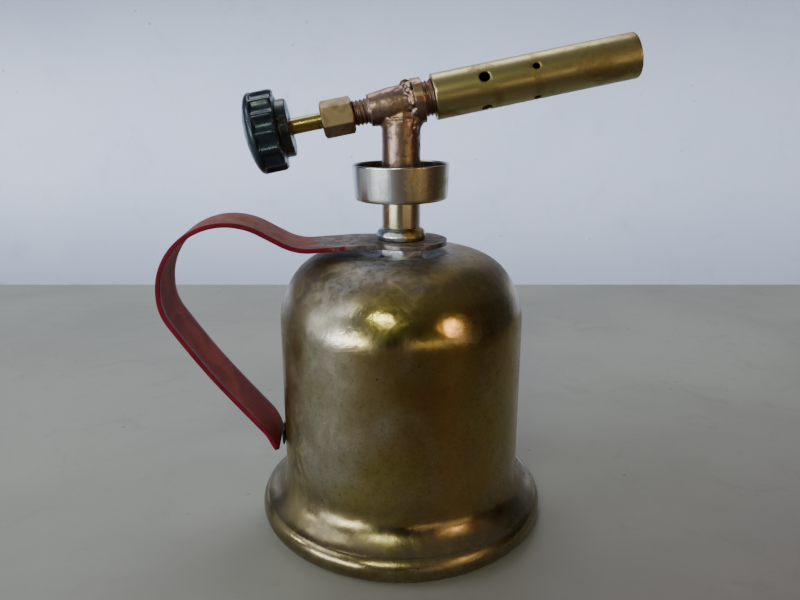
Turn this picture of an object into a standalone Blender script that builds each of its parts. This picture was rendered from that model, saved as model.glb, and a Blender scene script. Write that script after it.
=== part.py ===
"""A self-blowing spirit burner: brass tank, strap handle, priming cup and a valved mixing tube.

Sizes are in metres. The burner stands on Z = 0 with its mixing tube towards +X and its handle
towards -X. Everything turned is a profile of (radius, height) points about its own Z axis.
"""

import math

import bmesh
import bpy
from mathutils import Matrix, Vector

# Layout
TANK_X = 0.0018            # the tank's axis: the handle reaches further out than the tube
GAP = 0.0003               # between pieces that touch
RUNNING_GAP = 0.0001       # between a turning shaft and its bore
TEE_Z = 0.14165            # where the burner's axis crosses the tank's
TILT = math.radians(11.3)  # of the burner's axis, muzzle up
FINE = 56                  # sides of the tank
MEDIUM = 32                # sides of the cup, the knob and the tube
COARSE = 24                # sides of small turned pieces
OUTER_STEP = math.radians(12)   # of a round stretch in a profile, where it shows
INNER_STEP = math.radians(25)
SHARP = math.radians(30)

# Tank
TANK_RADIUS = 0.0410
TANK_WALL = 0.0008
TANK_TOP = 0.0950
SHOULDER_RADIUS = 0.0220
SHOULDER_ANGLE = math.radians(67.6)
CROWN_RADIUS = 0.0404
FLARE_RADIUS = 0.0120
FLARE_TOP = 0.0200
FOOT_RADIUS = 0.0498
BEAD_RADIUS = 0.0052
BEAD_TOP_ANGLE = math.radians(75)
FOOT_FLAT = 0.0008         # half-width of the ring that the tank stands on
FLOOR_Z = 0.0206           # underside of the tank's floor
FLOOR_SKIRT = 0.0060
SEAM_HEIGHT = 0.0017

# Filler in the tank's floor
BUSH_BORE = 0.0052
BUSH_NECK = 0.0080
BUSH_FLANGE = 0.0105
BUSH_FLANGE_HEIGHT = 0.0014
BUSH_RISE = 0.0044
GASKET_HEIGHT = 0.0009
PLUG_SHANK = 0.0050
PLUG_SHANK_LENGTH = 0.0060
PLUG_HEAD = 0.0090
PLUG_HEAD_HEIGHT = 0.0046
PLUG_SLOT = 0.0016

# Stem
SPUD_FLATS = 0.0135
SPUD_HEX_HEIGHT = 0.0012
SPUD_NECK = 0.0049
SPUD_NECK_DROP = 0.0070
NIPPLE_RADIUS = 0.0046
NIPPLE_TOP = 0.1085
WICK_BORE = 0.0033
WICK_RADIUS = 0.0030
WICK_BOTTOM = 0.0260
WICK_TOP = 0.1330
WICK_TUBE_RADIUS = 0.0042
WICK_TUBE_BOTTOM = 0.0290
COLLAR_FOOT = 0.0076
COLLAR_BELLY = 0.0083
COLLAR_TOP_Z = 0.1024
STEM_RADIUS = 0.00635
STEM_TOP = 0.1115
LEG_RADIUS = 0.00622
LEG_BORE = 0.0042

# Priming cup
CUP_BOTTOM = 0.1118
CUP_RIM_Z = 0.1232
CUP_BOTTOM_RADIUS = 0.0153
CUP_RIM_RADIUS = 0.01585
CUP_WALL = 0.0007
CUP_CORNER = 0.0013

# Strap handle
STRAP_WIDTH = 0.0210
STRAP_THICKNESS = 0.0016
STRAP_Z = 0.0978           # its middle, at the stem
EYE_RADIUS = 0.0130
EYE_X = 0.0022             # its middle: the hole in it is on the stem's axis
# Corners of the strap's middle line as (x, z, bend radius), from the stem to the tank's foot
STRAP_CORNERS = (
    (0.0000, STRAP_Z, 0.0000),
    (-0.0150, STRAP_Z, 0.0300),
    (-0.0342, 0.0967, 0.0180),
    (-0.0780, 0.1210, 0.0220),
    (-0.0780, 0.0775, 0.0180),
    (-0.0645, 0.0566, 0.0900),
    (-0.0459, 0.0335, 0.0120),
    (-0.0434, 0.0276, 0.0000),
)
HANDLE_SOLDER = (0.0007, 0.0080, 0.0060)
HANDLE_SOLDER_Z = 0.0292

# Burner, as places along its axis from the tee
BARREL_RADIUS = 0.00505
BARREL_BACK = -0.0104
BARREL_FRONT = 0.0035
NECK_RADIUS = 0.0041
NECK_BACK = -0.0195
STUFFING_RADIUS = 0.0036
STUFFING_END = -0.0170
SPINDLE_RADIUS = 0.0025
CHAMBER_RADIUS = 0.0036
CHAMBER_BACK = -0.0060
FILLET_REACH = 0.0082
FILLET_FOOT_Z = 0.1328
FILLET_TOP_Z = 0.1364

FLANGE_RADIUS = 0.00695
FLANGE_BACK = 0.0038
FLANGE_FRONT = 0.0070
NOSE_RADIUS = 0.0056
NOSE_FRONT = 0.0172
SPIGOT_RADIUS = 0.0033
SPIGOT_BACK = -0.0012
SEAT_BORE = 0.0010
SEAT_MOUTH = 0.0016
JET_BORE = 0.0024
JET_SHANK = 0.0021
JET_SHANK_LENGTH = 0.0050
JET_HEAD_FLATS = 0.0064
JET_HEAD_HEIGHT = 0.0026
JET_TIP = 0.0226
JET_ORIFICE = 0.0004

TUBE_RADIUS = 0.00715
TUBE_BORE = 0.0063
TUBE_BACK = 0.0103
TUBE_THREAD_END = 0.0166
TUBE_FRONT = 0.0757
AIR_HOLE_ANGLE = math.radians(64)
AIR_HOLES = ((0.0262, 0.0017), (0.0425, 0.0011))   # place and radius of each ring of holes

NUT_FLATS = 0.0102
NUT_BACK = -0.0255
NUT_FRONT = -0.0154
NUT_WEB = 0.0026
NUT_CHAMFER = 0.0006
NUT_TURN = math.radians(6)

SPINDLE_BACK = -0.0432
SPINDLE_FRONT = -0.0064
NEEDLE_RADIUS = 0.0012
NEEDLE_SOCKET = 0.0040
NEEDLE_TIP = 0.0052
NEEDLE_CONE = 0.0040

KNOB_RADIUS = 0.0127
KNOB_FACE = -0.0472
KNOB_DOME = 0.0026
KNOB_BACK = -0.0389
BOSS_RADIUS = 0.0090
BOSS_END = -0.0354
FLUTE_COUNT = 14
FLUTE_RADIUS = 0.0036
FLUTE_DEPTH = 0.0009
FLUTE_LIP = 0.0015
SCREW_HEAD = 0.0031
SCREW_HEAD_HEIGHT = 0.0014
SCREW_SHANK = 0.0015
SCREW_SLOT = 0.0009

# Material: colour, roughness, metallic
MATERIALS = {
    "aged_brass": ((0.36, 0.30, 0.16), 0.38, 1.0),
    "bright_brass": ((0.62, 0.50, 0.26), 0.28, 1.0),
    "heated_bronze": ((0.45, 0.30, 0.20), 0.40, 1.0),
    "solder": ((0.55, 0.56, 0.58), 0.45, 1.0),
    "red_paint": ((0.24, 0.06, 0.05), 0.50, 0.0),
    "bakelite": ((0.02, 0.025, 0.03), 0.35, 0.0),
    "steel": ((0.50, 0.50, 0.50), 0.35, 1.0),
    "leather": ((0.25, 0.15, 0.08), 0.80, 0.0),
    "graphite": ((0.06, 0.06, 0.06), 0.70, 0.0),
    "cotton": ((0.75, 0.70, 0.60), 0.90, 0.0),
}


def clear_scene():
    for obj in list(bpy.data.objects):
        bpy.data.objects.remove(obj, do_unlink=True)


def make_material(name):
    colour, roughness, metallic = MATERIALS[name.split(":")[0]]
    material = bpy.data.materials.new(name)
    material.use_nodes = True
    shader = material.node_tree.nodes["Principled BSDF"]
    shader.inputs["Base Color"].default_value = (*colour, 1.0)
    shader.inputs["Roughness"].default_value = roughness
    shader.inputs["Metallic"].default_value = metallic
    return material


def make_collection(name):
    collection = bpy.data.collections.new(name)
    bpy.context.scene.collection.children.link(collection)
    return collection


def make_empty(name, location, rotation=(0.0, 0.0, 0.0), parent=None):
    empty = bpy.data.objects.new(name, None)
    empty.location = location
    empty.rotation_euler = rotation
    empty.parent = parent
    PARTS.objects.link(empty)
    return empty


def place(name, bm, parent, location, finish):
    """Makes the mesh an object: a part with a material of its own, or a cutter without a finish."""
    mesh = bpy.data.meshes.new(name)
    bm.to_mesh(mesh)
    bm.free()
    obj = bpy.data.objects.new(name, mesh)
    obj.location = location
    obj.parent = parent
    if finish:
        mesh.materials.append(make_material(finish + ":" + name))
        PARTS.objects.link(obj)
    else:
        obj.hide_render = True
        obj.display_type = "WIRE"
        CUTTERS.objects.link(obj)
    return obj


def turned(name, profile, parent, location=(0, 0, 0), finish=None, steps=COARSE):
    """A solid turned about Z. A profile off the axis at its start is a ring, and closes."""
    bm = bmesh.new()
    points = [bm.verts.new((radius, 0.0, height)) for radius, height in profile]
    if profile[0][0] > 0.0:
        points.append(points[0])
    for first, second in zip(points, points[1:]):
        bm.edges.new((first, second))
    obj = place(name, bm, parent, location, finish)
    screw = obj.modifiers.new("turn", "SCREW")
    screw.steps = steps
    screw.render_steps = steps
    screw.use_merge_vertices = True
    screw.merge_threshold = 0.00001
    return obj


def rod(name, radius, low, high, parent, location=(0, 0, 0), finish=None, steps=COARSE):
    profile = [(0.0, high), (radius, high), (radius, low), (0.0, low)]
    return turned(name, profile, parent, location, finish, steps)


def ring(name, outer, inner, low, high, parent, location=(0, 0, 0), finish=None, steps=COARSE):
    profile = [(outer, high), (outer, low), (inner, low), (inner, high)]
    return turned(name, profile, parent, location, finish, steps)


def hexagon(name, flats, low, high, parent, location=(0, 0, 0), finish=None, turn=0.0):
    """A hexagonal prism with a corner at the angle of turn from X."""
    bm = bmesh.new()
    corner = flats / math.sqrt(3)
    bmesh.ops.create_cone(
        bm,
        cap_ends=True,
        segments=6,
        radius1=corner,
        radius2=corner,
        depth=high - low,
        matrix=Matrix.Rotation(turn - math.pi / 2, 4, "Z"),
    )
    bmesh.ops.translate(bm, verts=bm.verts, vec=(0.0, 0.0, (low + high) / 2))
    return place(name, bm, parent, location, finish)


def box(name, size, parent, location, finish=None):
    bm = bmesh.new()
    bmesh.ops.create_cube(bm, size=1.0)
    bmesh.ops.scale(bm, verts=bm.verts, vec=size)
    return place(name, bm, parent, location, finish)


def combine(obj, other, operation):
    boolean = obj.modifiers.new(operation.lower(), "BOOLEAN")
    boolean.operation = operation
    boolean.object = other
    return obj


def arc(centre, radius, start, end, step=OUTER_STEP):
    """Points from the angle start to the angle end, both counted from +X in radians."""
    count = max(2, math.ceil(abs(end - start) / step))
    angles = [start + (end - start) * i / count for i in range(count + 1)]
    return [(centre[0] + radius * math.cos(a), centre[1] + radius * math.sin(a)) for a in angles]


def rounded_path(corners):
    """The corners as points, with each bend turned into an arc of its own radius."""
    path = [Vector(corners[0][:2])]
    for before, here, after in zip(corners, corners[1:], corners[2:]):
        corner = Vector(here[:2])
        back = (Vector(before[:2]) - corner).normalized()
        ahead = (Vector(after[:2]) - corner).normalized()
        half = back.angle(ahead) / 2
        centre = corner + (back + ahead).normalized() * here[2] / math.sin(half)
        start = corner + back * here[2] / math.tan(half) - centre
        turn = (math.pi - 2 * half) * math.copysign(1.0, ahead.cross(back))
        count = max(2, math.ceil(abs(turn) / (OUTER_STEP / 2)))
        for i in range(count + 1):
            angle = turn * i / count
            spun = Matrix.Rotation(angle, 2) @ start
            path.append(centre + spun)
    path.append(Vector(corners[-1][:2]))
    return path


def wall_profile(offset, step):
    """The tank's side from its crown to its crease, moved inwards by offset."""
    shrink = CROWN_RADIUS - SHOULDER_RADIUS
    shoulder_r = TANK_RADIUS - SHOULDER_RADIUS
    crown = (shoulder_r - shrink * math.cos(SHOULDER_ANGLE), TANK_TOP - CROWN_RADIUS)
    shoulder = (shoulder_r, crown[1] + shrink * math.sin(SHOULDER_ANGLE))
    flare = (TANK_RADIUS + FLARE_RADIUS, FLARE_TOP)
    bead = (FOOT_RADIUS - BEAD_RADIUS, BEAD_RADIUS)
    crease_r = bead[0] + BEAD_RADIUS * math.cos(BEAD_TOP_ANGLE)
    crease = math.acos((flare[0] - crease_r) / FLARE_RADIUS)
    points = arc(crown, CROWN_RADIUS - offset, math.pi / 2, SHOULDER_ANGLE, step)
    points += arc(shoulder, SHOULDER_RADIUS - offset, SHOULDER_ANGLE, 0.0, step)[1:]
    points += arc(flare, FLARE_RADIUS + offset, math.pi, math.pi + crease, step)
    return points


def flare_bore(height):
    """The inner radius of the tank where its wall flares out to the foot."""
    radius = FLARE_RADIUS + TANK_WALL
    return TANK_RADIUS + FLARE_RADIUS - math.sqrt(radius ** 2 - (FLARE_TOP - height) ** 2)


def bead_profile(offset, step):
    """The rolled foot from the crease down to its flat."""
    bead = (FOOT_RADIUS - BEAD_RADIUS, BEAD_RADIUS)
    radius = BEAD_RADIUS - offset
    flat = math.acos(FOOT_FLAT / radius)
    return arc(bead, radius, BEAD_TOP_ANGLE, -flat, step)


def build_tank(base):
    hole = SPUD_NECK + GAP
    foot_inside = FOOT_RADIUS - BEAD_RADIUS - FOOT_FLAT
    outer = [(hole, TANK_TOP)]
    outer += wall_profile(0.0, OUTER_STEP)
    outer += bead_profile(0.0, OUTER_STEP)[1:]
    outer[-1] = (outer[-1][0], 0.0)
    inner = [(hole, TANK_TOP - TANK_WALL)]
    inner += wall_profile(TANK_WALL, INNER_STEP)
    inner += bead_profile(TANK_WALL, INNER_STEP)
    inner += [(foot_inside, TANK_WALL)]
    profile = outer + [(foot_inside, 0.0)] + inner[::-1]
    turned("tank_shell", profile, base, finish="aged_brass", steps=FINE)

    edge = TANK_RADIUS - TANK_WALL - GAP
    hole = BUSH_NECK + GAP
    top = FLOOR_Z + TANK_WALL
    floor = [
        (hole, top), (edge, top), (edge, top - FLOOR_SKIRT), (edge - TANK_WALL, top - FLOOR_SKIRT),
        (edge - TANK_WALL, FLOOR_Z), (hole, FLOOR_Z),
    ]
    turned("tank_bottom", floor, base, finish="aged_brass", steps=FINE)

    seam_top = top - FLOOR_SKIRT - GAP
    seam_low = seam_top - SEAM_HEIGHT
    seam = [
        (flare_bore(seam_top) - GAP, seam_top), (flare_bore(seam_low) - GAP, seam_low),
        (edge - TANK_WALL, seam_top),
    ]
    turned("base_solder_ring", seam, base, finish="solder", steps=FINE)


def build_filler(base):
    """The bush is fast in the floor; the gasket travels with the plug that turns in it."""
    flange_top = FLOOR_Z - GAP
    flange_low = flange_top - BUSH_FLANGE_HEIGHT
    bush_top = FLOOR_Z + BUSH_RISE
    bush = [
        (BUSH_NECK, bush_top), (BUSH_NECK, flange_top), (BUSH_FLANGE, flange_top),
        (BUSH_FLANGE, flange_low), (BUSH_BORE, flange_low), (BUSH_BORE, bush_top),
    ]
    turned("filler_bush", bush, base, finish="bright_brass", steps=MEDIUM)

    gasket_low = flange_low - GAP - GASKET_HEIGHT
    ring("filler_gasket", PLUG_HEAD, PLUG_SHANK + GAP, gasket_low, flange_low - GAP, base,
         finish="leather")

    head_top = gasket_low - GAP
    chamfer = 0.0006
    plug = [
        (0.0, head_top + PLUG_SHANK_LENGTH), (PLUG_SHANK - chamfer, head_top + PLUG_SHANK_LENGTH),
        (PLUG_SHANK, head_top + PLUG_SHANK_LENGTH - chamfer), (PLUG_SHANK, head_top),
        (PLUG_HEAD, head_top), (PLUG_HEAD, head_top - PLUG_HEAD_HEIGHT + chamfer),
        (PLUG_HEAD - chamfer, head_top - PLUG_HEAD_HEIGHT), (0.0, head_top - PLUG_HEAD_HEIGHT),
    ]
    obj = turned("filler_plug", plug, base, finish="bright_brass", steps=MEDIUM)
    slot = box("filler_slot", (2.5 * PLUG_HEAD, PLUG_SLOT, 2 * PLUG_SLOT), base,
               (0.0, 0.0, head_top - PLUG_HEAD_HEIGHT))
    combine(obj, slot, "DIFFERENCE")


def build_stem(base):
    hex_low = TANK_TOP + GAP
    hex_top = hex_low + SPUD_HEX_HEIGHT
    spud = hexagon("tank_spud", SPUD_FLATS, hex_low, hex_top, base, finish="solder",
                   turn=-math.pi / 2)
    neck = turned(
        "spud_neck",
        [
            (0.0, NIPPLE_TOP), (NIPPLE_RADIUS, NIPPLE_TOP),
            (NIPPLE_RADIUS, hex_top - GAP), (SPUD_NECK, hex_low + GAP),
            (SPUD_NECK, hex_low - SPUD_NECK_DROP), (0.0, hex_low - SPUD_NECK_DROP),
        ],
        base,
    )
    bore = rod("spud_bore", WICK_BORE, 0.0, 2 * NIPPLE_TOP, base)
    combine(spud, neck, "UNION")
    combine(spud, bore, "DIFFERENCE")

    ring("wick_tube", WICK_TUBE_RADIUS, WICK_BORE, WICK_TUBE_BOTTOM,
         hex_low - SPUD_NECK_DROP - GAP, base, finish="aged_brass")
    rod("wick", WICK_RADIUS, WICK_BOTTOM, WICK_TOP, base, finish="cotton")

    low = STRAP_Z + STRAP_THICKNESS / 2 + GAP
    hole = NIPPLE_RADIUS + GAP
    belly_z = low + (COLLAR_TOP_Z - low) * 0.4
    collar = [
        (hole, COLLAR_TOP_Z), (STEM_RADIUS + GAP, COLLAR_TOP_Z),
        (COLLAR_FOOT, COLLAR_TOP_Z - 0.0007), (COLLAR_BELLY, belly_z), (COLLAR_FOOT + GAP, low),
        (hole, low),
    ]
    turned("handle_collar", collar, base, finish="aged_brass", steps=MEDIUM)
    ring("lower_stem", STEM_RADIUS, hole, COLLAR_TOP_Z + GAP, STEM_TOP, base,
         finish="bright_brass", steps=MEDIUM)


def build_cup(base):
    corner = (CUP_BOTTOM_RADIUS - CUP_CORNER, CUP_BOTTOM + CUP_CORNER)
    outer = [(CUP_RIM_RADIUS, CUP_RIM_Z)] + arc(corner, CUP_CORNER, 0.0, -math.pi / 2)
    inner = arc(corner, CUP_CORNER - CUP_WALL, -math.pi / 2, 0.0)
    hole = NIPPLE_RADIUS + GAP
    profile = outer + [(hole, CUP_BOTTOM), (hole, CUP_BOTTOM + CUP_WALL)] + inner
    profile.append((CUP_RIM_RADIUS - CUP_WALL, CUP_RIM_Z))
    turned("priming_cup", profile, base, finish="bright_brass", steps=MEDIUM)


def build_handle(base):
    bm = bmesh.new()
    points = [
        bm.verts.new((x, -STRAP_WIDTH / 2, z)) for x, z in rounded_path(STRAP_CORNERS)
    ]
    for first, second in zip(points, points[1:]):
        bm.edges.new((first, second))
    across = bmesh.ops.extrude_edge_only(bm, edges=bm.edges[:])
    moved = [item for item in across["geom"] if isinstance(item, bmesh.types.BMVert)]
    bmesh.ops.translate(bm, verts=moved, vec=(0.0, STRAP_WIDTH, 0.0))
    strap = place("handle_strap", bm, base, (0, 0, 0), "red_paint")
    solidify = strap.modifiers.new("thickness", "SOLIDIFY")
    solidify.thickness = STRAP_THICKNESS
    solidify.offset = 0.0
    solidify.use_even_offset = True
    half = STRAP_THICKNESS / 2
    eye = rod("handle_eye", EYE_RADIUS, STRAP_Z - half, STRAP_Z + half, base, (EYE_X, 0.0, 0.0),
              steps=MEDIUM)
    hole = rod("handle_hole", NIPPLE_RADIUS + 2 * GAP, 0.0, 2 * STRAP_Z, base)
    combine(strap, eye, "UNION")
    combine(strap, hole, "DIFFERENCE")

    middle = -(TANK_RADIUS + GAP + HANDLE_SOLDER[0] / 2)
    box("handle_foot_solder", HANDLE_SOLDER, base, (middle, 0.0, HANDLE_SOLDER_Z), "solder")


def build_vaporizer(base, axis):
    """The cast tee: its leg stands in the cup, and its barrel lies along the burner's axis."""
    cup_floor = CUP_BOTTOM + CUP_WALL + GAP
    body = rod("vaporizer_body", LEG_RADIUS, cup_floor, TEE_Z, base, finish="heated_bronze",
               steps=MEDIUM)
    barrel = turned(
        "barrel",
        [
            (0.0, BARREL_FRONT), (BARREL_RADIUS, BARREL_FRONT), (BARREL_RADIUS, BARREL_BACK),
            (NECK_RADIUS, BARREL_BACK), (NECK_RADIUS, NECK_BACK), (0.0, NECK_BACK),
        ],
        axis,
        steps=MEDIUM,
    )
    bm = bmesh.new()
    bmesh.ops.create_cone(
        bm, cap_ends=True, segments=COARSE, radius1=LEG_RADIUS - RUNNING_GAP,
        radius2=FILLET_REACH, depth=FILLET_TOP_Z - FILLET_FOOT_Z,
    )
    flat = (LEG_RADIUS - RUNNING_GAP) / FILLET_REACH
    wide = [vert for vert in bm.verts if vert.co.z > 0.0]
    bmesh.ops.scale(bm, verts=wide, vec=(1.0, flat, 1.0))
    fillet = place("fillet", bm, base, (0.0, 0.0, (FILLET_FOOT_Z + FILLET_TOP_Z) / 2), None)
    leg_bore = rod("leg_bore", LEG_BORE, CUP_BOTTOM, TEE_Z - GAP, base)
    barrel_bore = turned(
        "barrel_bore",
        [
            (0.0, 2 * BARREL_FRONT), (CHAMBER_RADIUS, 2 * BARREL_FRONT),
            (CHAMBER_RADIUS, CHAMBER_BACK), (SPINDLE_RADIUS + RUNNING_GAP, CHAMBER_BACK),
            (SPINDLE_RADIUS + RUNNING_GAP, STUFFING_END), (STUFFING_RADIUS, STUFFING_END),
            (STUFFING_RADIUS, 2 * NECK_BACK), (0.0, 2 * NECK_BACK),
        ],
        axis,
    )
    flange_room = rod("flange_room", FLANGE_RADIUS + GAP, BARREL_FRONT, 4 * FLANGE_FRONT, axis,
                      steps=MEDIUM)
    combine(body, barrel, "UNION")
    combine(body, fillet, "UNION")
    combine(body, flange_room, "DIFFERENCE")
    combine(body, leg_bore, "DIFFERENCE")
    combine(body, barrel_bore, "DIFFERENCE")


def build_jet(axis):
    seat_front = NOSE_FRONT - JET_SHANK_LENGTH - GAP
    holder = [
        (JET_BORE, NOSE_FRONT), (NOSE_RADIUS, NOSE_FRONT), (NOSE_RADIUS, FLANGE_FRONT),
        (FLANGE_RADIUS, FLANGE_FRONT), (FLANGE_RADIUS, FLANGE_BACK), (SPIGOT_RADIUS, FLANGE_BACK),
        (SPIGOT_RADIUS, SPIGOT_BACK), (SEAT_MOUTH, SPIGOT_BACK),
        (SEAT_MOUTH, NEEDLE_TIP - NEEDLE_CONE), (SEAT_BORE, NEEDLE_TIP), (SEAT_BORE, seat_front),
        (JET_BORE, seat_front),
    ]
    turned("jet_holder", holder, axis, finish="heated_bronze", steps=MEDIUM)

    head_low = NOSE_FRONT + GAP
    head_top = head_low + JET_HEAD_HEIGHT
    jet = hexagon("gas_jet", JET_HEAD_FLATS, head_low, head_top, axis, finish="bright_brass")
    stalk = turned(
        "jet_stalk",
        [
            (0.0, JET_TIP), (JET_SHANK / 2, JET_TIP), (JET_SHANK, head_top - GAP),
            (JET_SHANK, head_low - JET_SHANK_LENGTH), (0.0, head_low - JET_SHANK_LENGTH),
        ],
        axis,
    )
    feed = turned(
        "jet_feed",
        [
            (0.0, 2 * JET_TIP), (JET_ORIFICE, 2 * JET_TIP), (JET_ORIFICE, head_top),
            (JET_SHANK / 2, head_low), (JET_SHANK / 2, 0.0), (0.0, 0.0),
        ],
        axis,
        steps=COARSE // 2,
    )
    combine(jet, stalk, "UNION")
    combine(jet, feed, "DIFFERENCE")


def build_tube(axis):
    thread = NOSE_RADIUS + GAP
    profile = [
        (TUBE_BORE, TUBE_FRONT), (TUBE_RADIUS, TUBE_FRONT), (TUBE_RADIUS, TUBE_BACK),
        (thread, TUBE_BACK), (thread, TUBE_THREAD_END), (TUBE_BORE, TUBE_THREAD_END + GAP),
    ]
    tube = turned("burner_tube", profile, axis, finish="aged_brass", steps=MEDIUM)
    for index, (place_along, radius) in enumerate(AIR_HOLES):
        for quarter in range(2):
            drill = rod(f"air_hole_{index}_{quarter}", radius, -2 * TUBE_RADIUS, 2 * TUBE_RADIUS,
                        axis, (0.0, 0.0, place_along), steps=20)
            turn = AIR_HOLE_ANGLE + quarter * math.pi / 2
            drill.rotation_euler = (0.0, math.pi / 2, turn)
            combine(tube, drill, "DIFFERENCE")


def build_packing(axis):
    nut = hexagon("packing_nut", NUT_FLATS, NUT_BACK, NUT_FRONT, axis, finish="bright_brass",
                  turn=NUT_TURN)
    corner = NUT_FLATS / math.sqrt(3)
    edge = NUT_FLATS / 2
    chamfered = turned(
        "nut_chamfer",
        [
            (0.0, NUT_FRONT + GAP), (edge, NUT_FRONT + GAP), (corner + GAP, NUT_FRONT - NUT_CHAMFER),
            (corner + GAP, NUT_BACK + 2 * NUT_CHAMFER), (edge, NUT_BACK - GAP),
            (0.0, NUT_BACK - GAP),
        ],
        axis,
        steps=MEDIUM,
    )
    bore = turned(
        "nut_bore",
        [
            (0.0, NUT_FRONT + NUT_WEB), (NECK_RADIUS + GAP, NUT_FRONT + NUT_WEB),
            (NECK_RADIUS + GAP, NUT_BACK + NUT_WEB), (SPINDLE_RADIUS + GAP, NUT_BACK + NUT_WEB),
            (SPINDLE_RADIUS + GAP, NUT_BACK - NUT_WEB), (0.0, NUT_BACK - NUT_WEB),
        ],
        axis,
    )
    combine(nut, chamfered, "INTERSECT")
    combine(nut, bore, "DIFFERENCE")

    hole = SPINDLE_RADIUS + RUNNING_GAP
    head_back = NUT_BACK + NUT_WEB + GAP
    nose = STUFFING_RADIUS - GAP
    follower = [
        (nose, NECK_BACK + 2 * GAP), (nose, NECK_BACK - GAP), (NECK_RADIUS - GAP, NECK_BACK - GAP),
        (NECK_RADIUS - GAP, head_back), (hole, head_back), (hole, NECK_BACK + 2 * GAP),
    ]
    turned("gland_follower", follower, axis, finish="bright_brass")
    ring("valve_packing", nose, hole, NECK_BACK + 3 * GAP, STUFFING_END - GAP, axis,
         finish="graphite")


def build_valve(axis):
    """Everything here moves: the needle only along the axis, the rest along it and about it."""
    hole = NEEDLE_RADIUS + RUNNING_GAP
    screw_hole = SCREW_SHANK + GAP
    screw_depth = 0.0040
    spindle = rod("valve_spindle", SPINDLE_RADIUS, SPINDLE_BACK, SPINDLE_FRONT, axis,
                  finish="bright_brass")
    socket = rod("needle_socket", hole, SPINDLE_FRONT - NEEDLE_SOCKET,
                 SPINDLE_FRONT + NEEDLE_SOCKET, axis)
    tapping = rod("spindle_tapping", screw_hole, SPINDLE_BACK - screw_depth,
                  SPINDLE_BACK + screw_depth, axis)
    combine(spindle, socket, "DIFFERENCE")
    combine(spindle, tapping, "DIFFERENCE")

    needle = [
        (0.0, NEEDLE_TIP - GAP), (NEEDLE_RADIUS / 4, NEEDLE_TIP - GAP),
        (NEEDLE_RADIUS, NEEDLE_TIP - NEEDLE_CONE), (NEEDLE_RADIUS, SPINDLE_FRONT - NEEDLE_SOCKET + GAP),
        (0.0, SPINDLE_FRONT - NEEDLE_SOCKET + GAP),
    ]
    turned("valve_needle", needle, axis, finish="steel")

    dome = (KNOB_RADIUS ** 2 + KNOB_DOME ** 2) / (2 * KNOB_DOME)
    rim = math.asin(KNOB_RADIUS / dome)
    face = [
        (dome * math.sin(a), KNOB_FACE - KNOB_DOME + dome * (1.0 - math.cos(a)))
        for a in (rim * i / 6 for i in range(7))
    ]
    edge = 0.0005
    side = [
        (KNOB_RADIUS - edge, KNOB_BACK), (KNOB_RADIUS, KNOB_BACK - edge),
        (KNOB_RADIUS, KNOB_FACE + 2 * edge),
    ]
    face[-1] = (KNOB_RADIUS - edge, KNOB_FACE)
    back = [(0.0, BOSS_END), (BOSS_RADIUS - edge, BOSS_END), (BOSS_RADIUS, BOSS_END - edge),
            (BOSS_RADIUS, KNOB_BACK)]
    knob = turned("control_knob", back + side + face[::-1], axis, finish="bakelite", steps=MEDIUM)

    bm = bmesh.new()
    length = 2 * (KNOB_BACK - KNOB_FACE - FLUTE_LIP)
    for index in range(FLUTE_COUNT):
        angle = 2 * math.pi * index / FLUTE_COUNT
        reach = KNOB_RADIUS + FLUTE_RADIUS - FLUTE_DEPTH
        offset = Vector((reach * math.cos(angle), reach * math.sin(angle), KNOB_BACK))
        bmesh.ops.create_cone(
            bm, cap_ends=True, segments=16, radius1=FLUTE_RADIUS, radius2=FLUTE_RADIUS,
            depth=length, matrix=Matrix.Translation(offset),
        )
    flutes = place("knob_flutes", bm, axis, (0, 0, 0), None)
    counterbore = SCREW_HEAD + GAP
    head_seat = KNOB_FACE
    bore = turned(
        "knob_bore",
        [
            (0.0, 0.0), (SPINDLE_RADIUS + GAP, 0.0), (SPINDLE_RADIUS + GAP, SPINDLE_BACK - GAP),
            (screw_hole, SPINDLE_BACK - GAP), (screw_hole, head_seat), (counterbore, head_seat),
            (counterbore, 2 * KNOB_FACE), (0.0, 2 * KNOB_FACE),
        ],
        axis,
    )
    combine(knob, flutes, "DIFFERENCE")
    combine(knob, bore, "DIFFERENCE")

    head_front = head_seat - GAP
    head = [
        (0.0, SPINDLE_BACK + screw_depth - GAP), (SCREW_SHANK, SPINDLE_BACK + screw_depth - GAP),
        (SCREW_SHANK, head_front), (SCREW_HEAD, head_front),
        (SCREW_HEAD, head_front - SCREW_HEAD_HEIGHT), (0.0, head_front - SCREW_HEAD_HEIGHT),
    ]
    screw = turned("knob_screw", head, axis, finish="steel")
    slot = box("screw_slot", (4 * SCREW_HEAD, SCREW_SLOT, SCREW_SLOT), axis,
               (0.0, 0.0, head_front - SCREW_HEAD_HEIGHT))
    combine(screw, slot, "DIFFERENCE")


def settle_parts():
    """Turns each part's modifiers into its mesh, smooth but for its sharp edges."""
    graph = bpy.context.evaluated_depsgraph_get()
    meshes = {
        obj: bpy.data.meshes.new_from_object(obj.evaluated_get(graph))
        for obj in PARTS.objects
        if obj.type == "MESH"
    }
    for obj, mesh in meshes.items():
        obj.modifiers.clear()
        obj.data = mesh
        mesh.shade_smooth()
        mesh.set_sharp_from_angle(angle=SHARP)


clear_scene()
PARTS = make_collection("spirit_burner")
CUTTERS = make_collection("cutters")
tank_axis = make_empty("tank_axis", (TANK_X, 0.0, 0.0))
burner_axis = make_empty("burner_axis", (0.0, 0.0, TEE_Z), (0.0, math.pi / 2 - TILT, 0.0), tank_axis)
build_tank(tank_axis)
build_filler(tank_axis)
build_stem(tank_axis)
build_cup(tank_axis)
build_handle(tank_axis)
build_vaporizer(tank_axis, burner_axis)
build_jet(burner_axis)
build_tube(burner_axis)
build_packing(burner_axis)
build_valve(burner_axis)
settle_parts()
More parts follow.
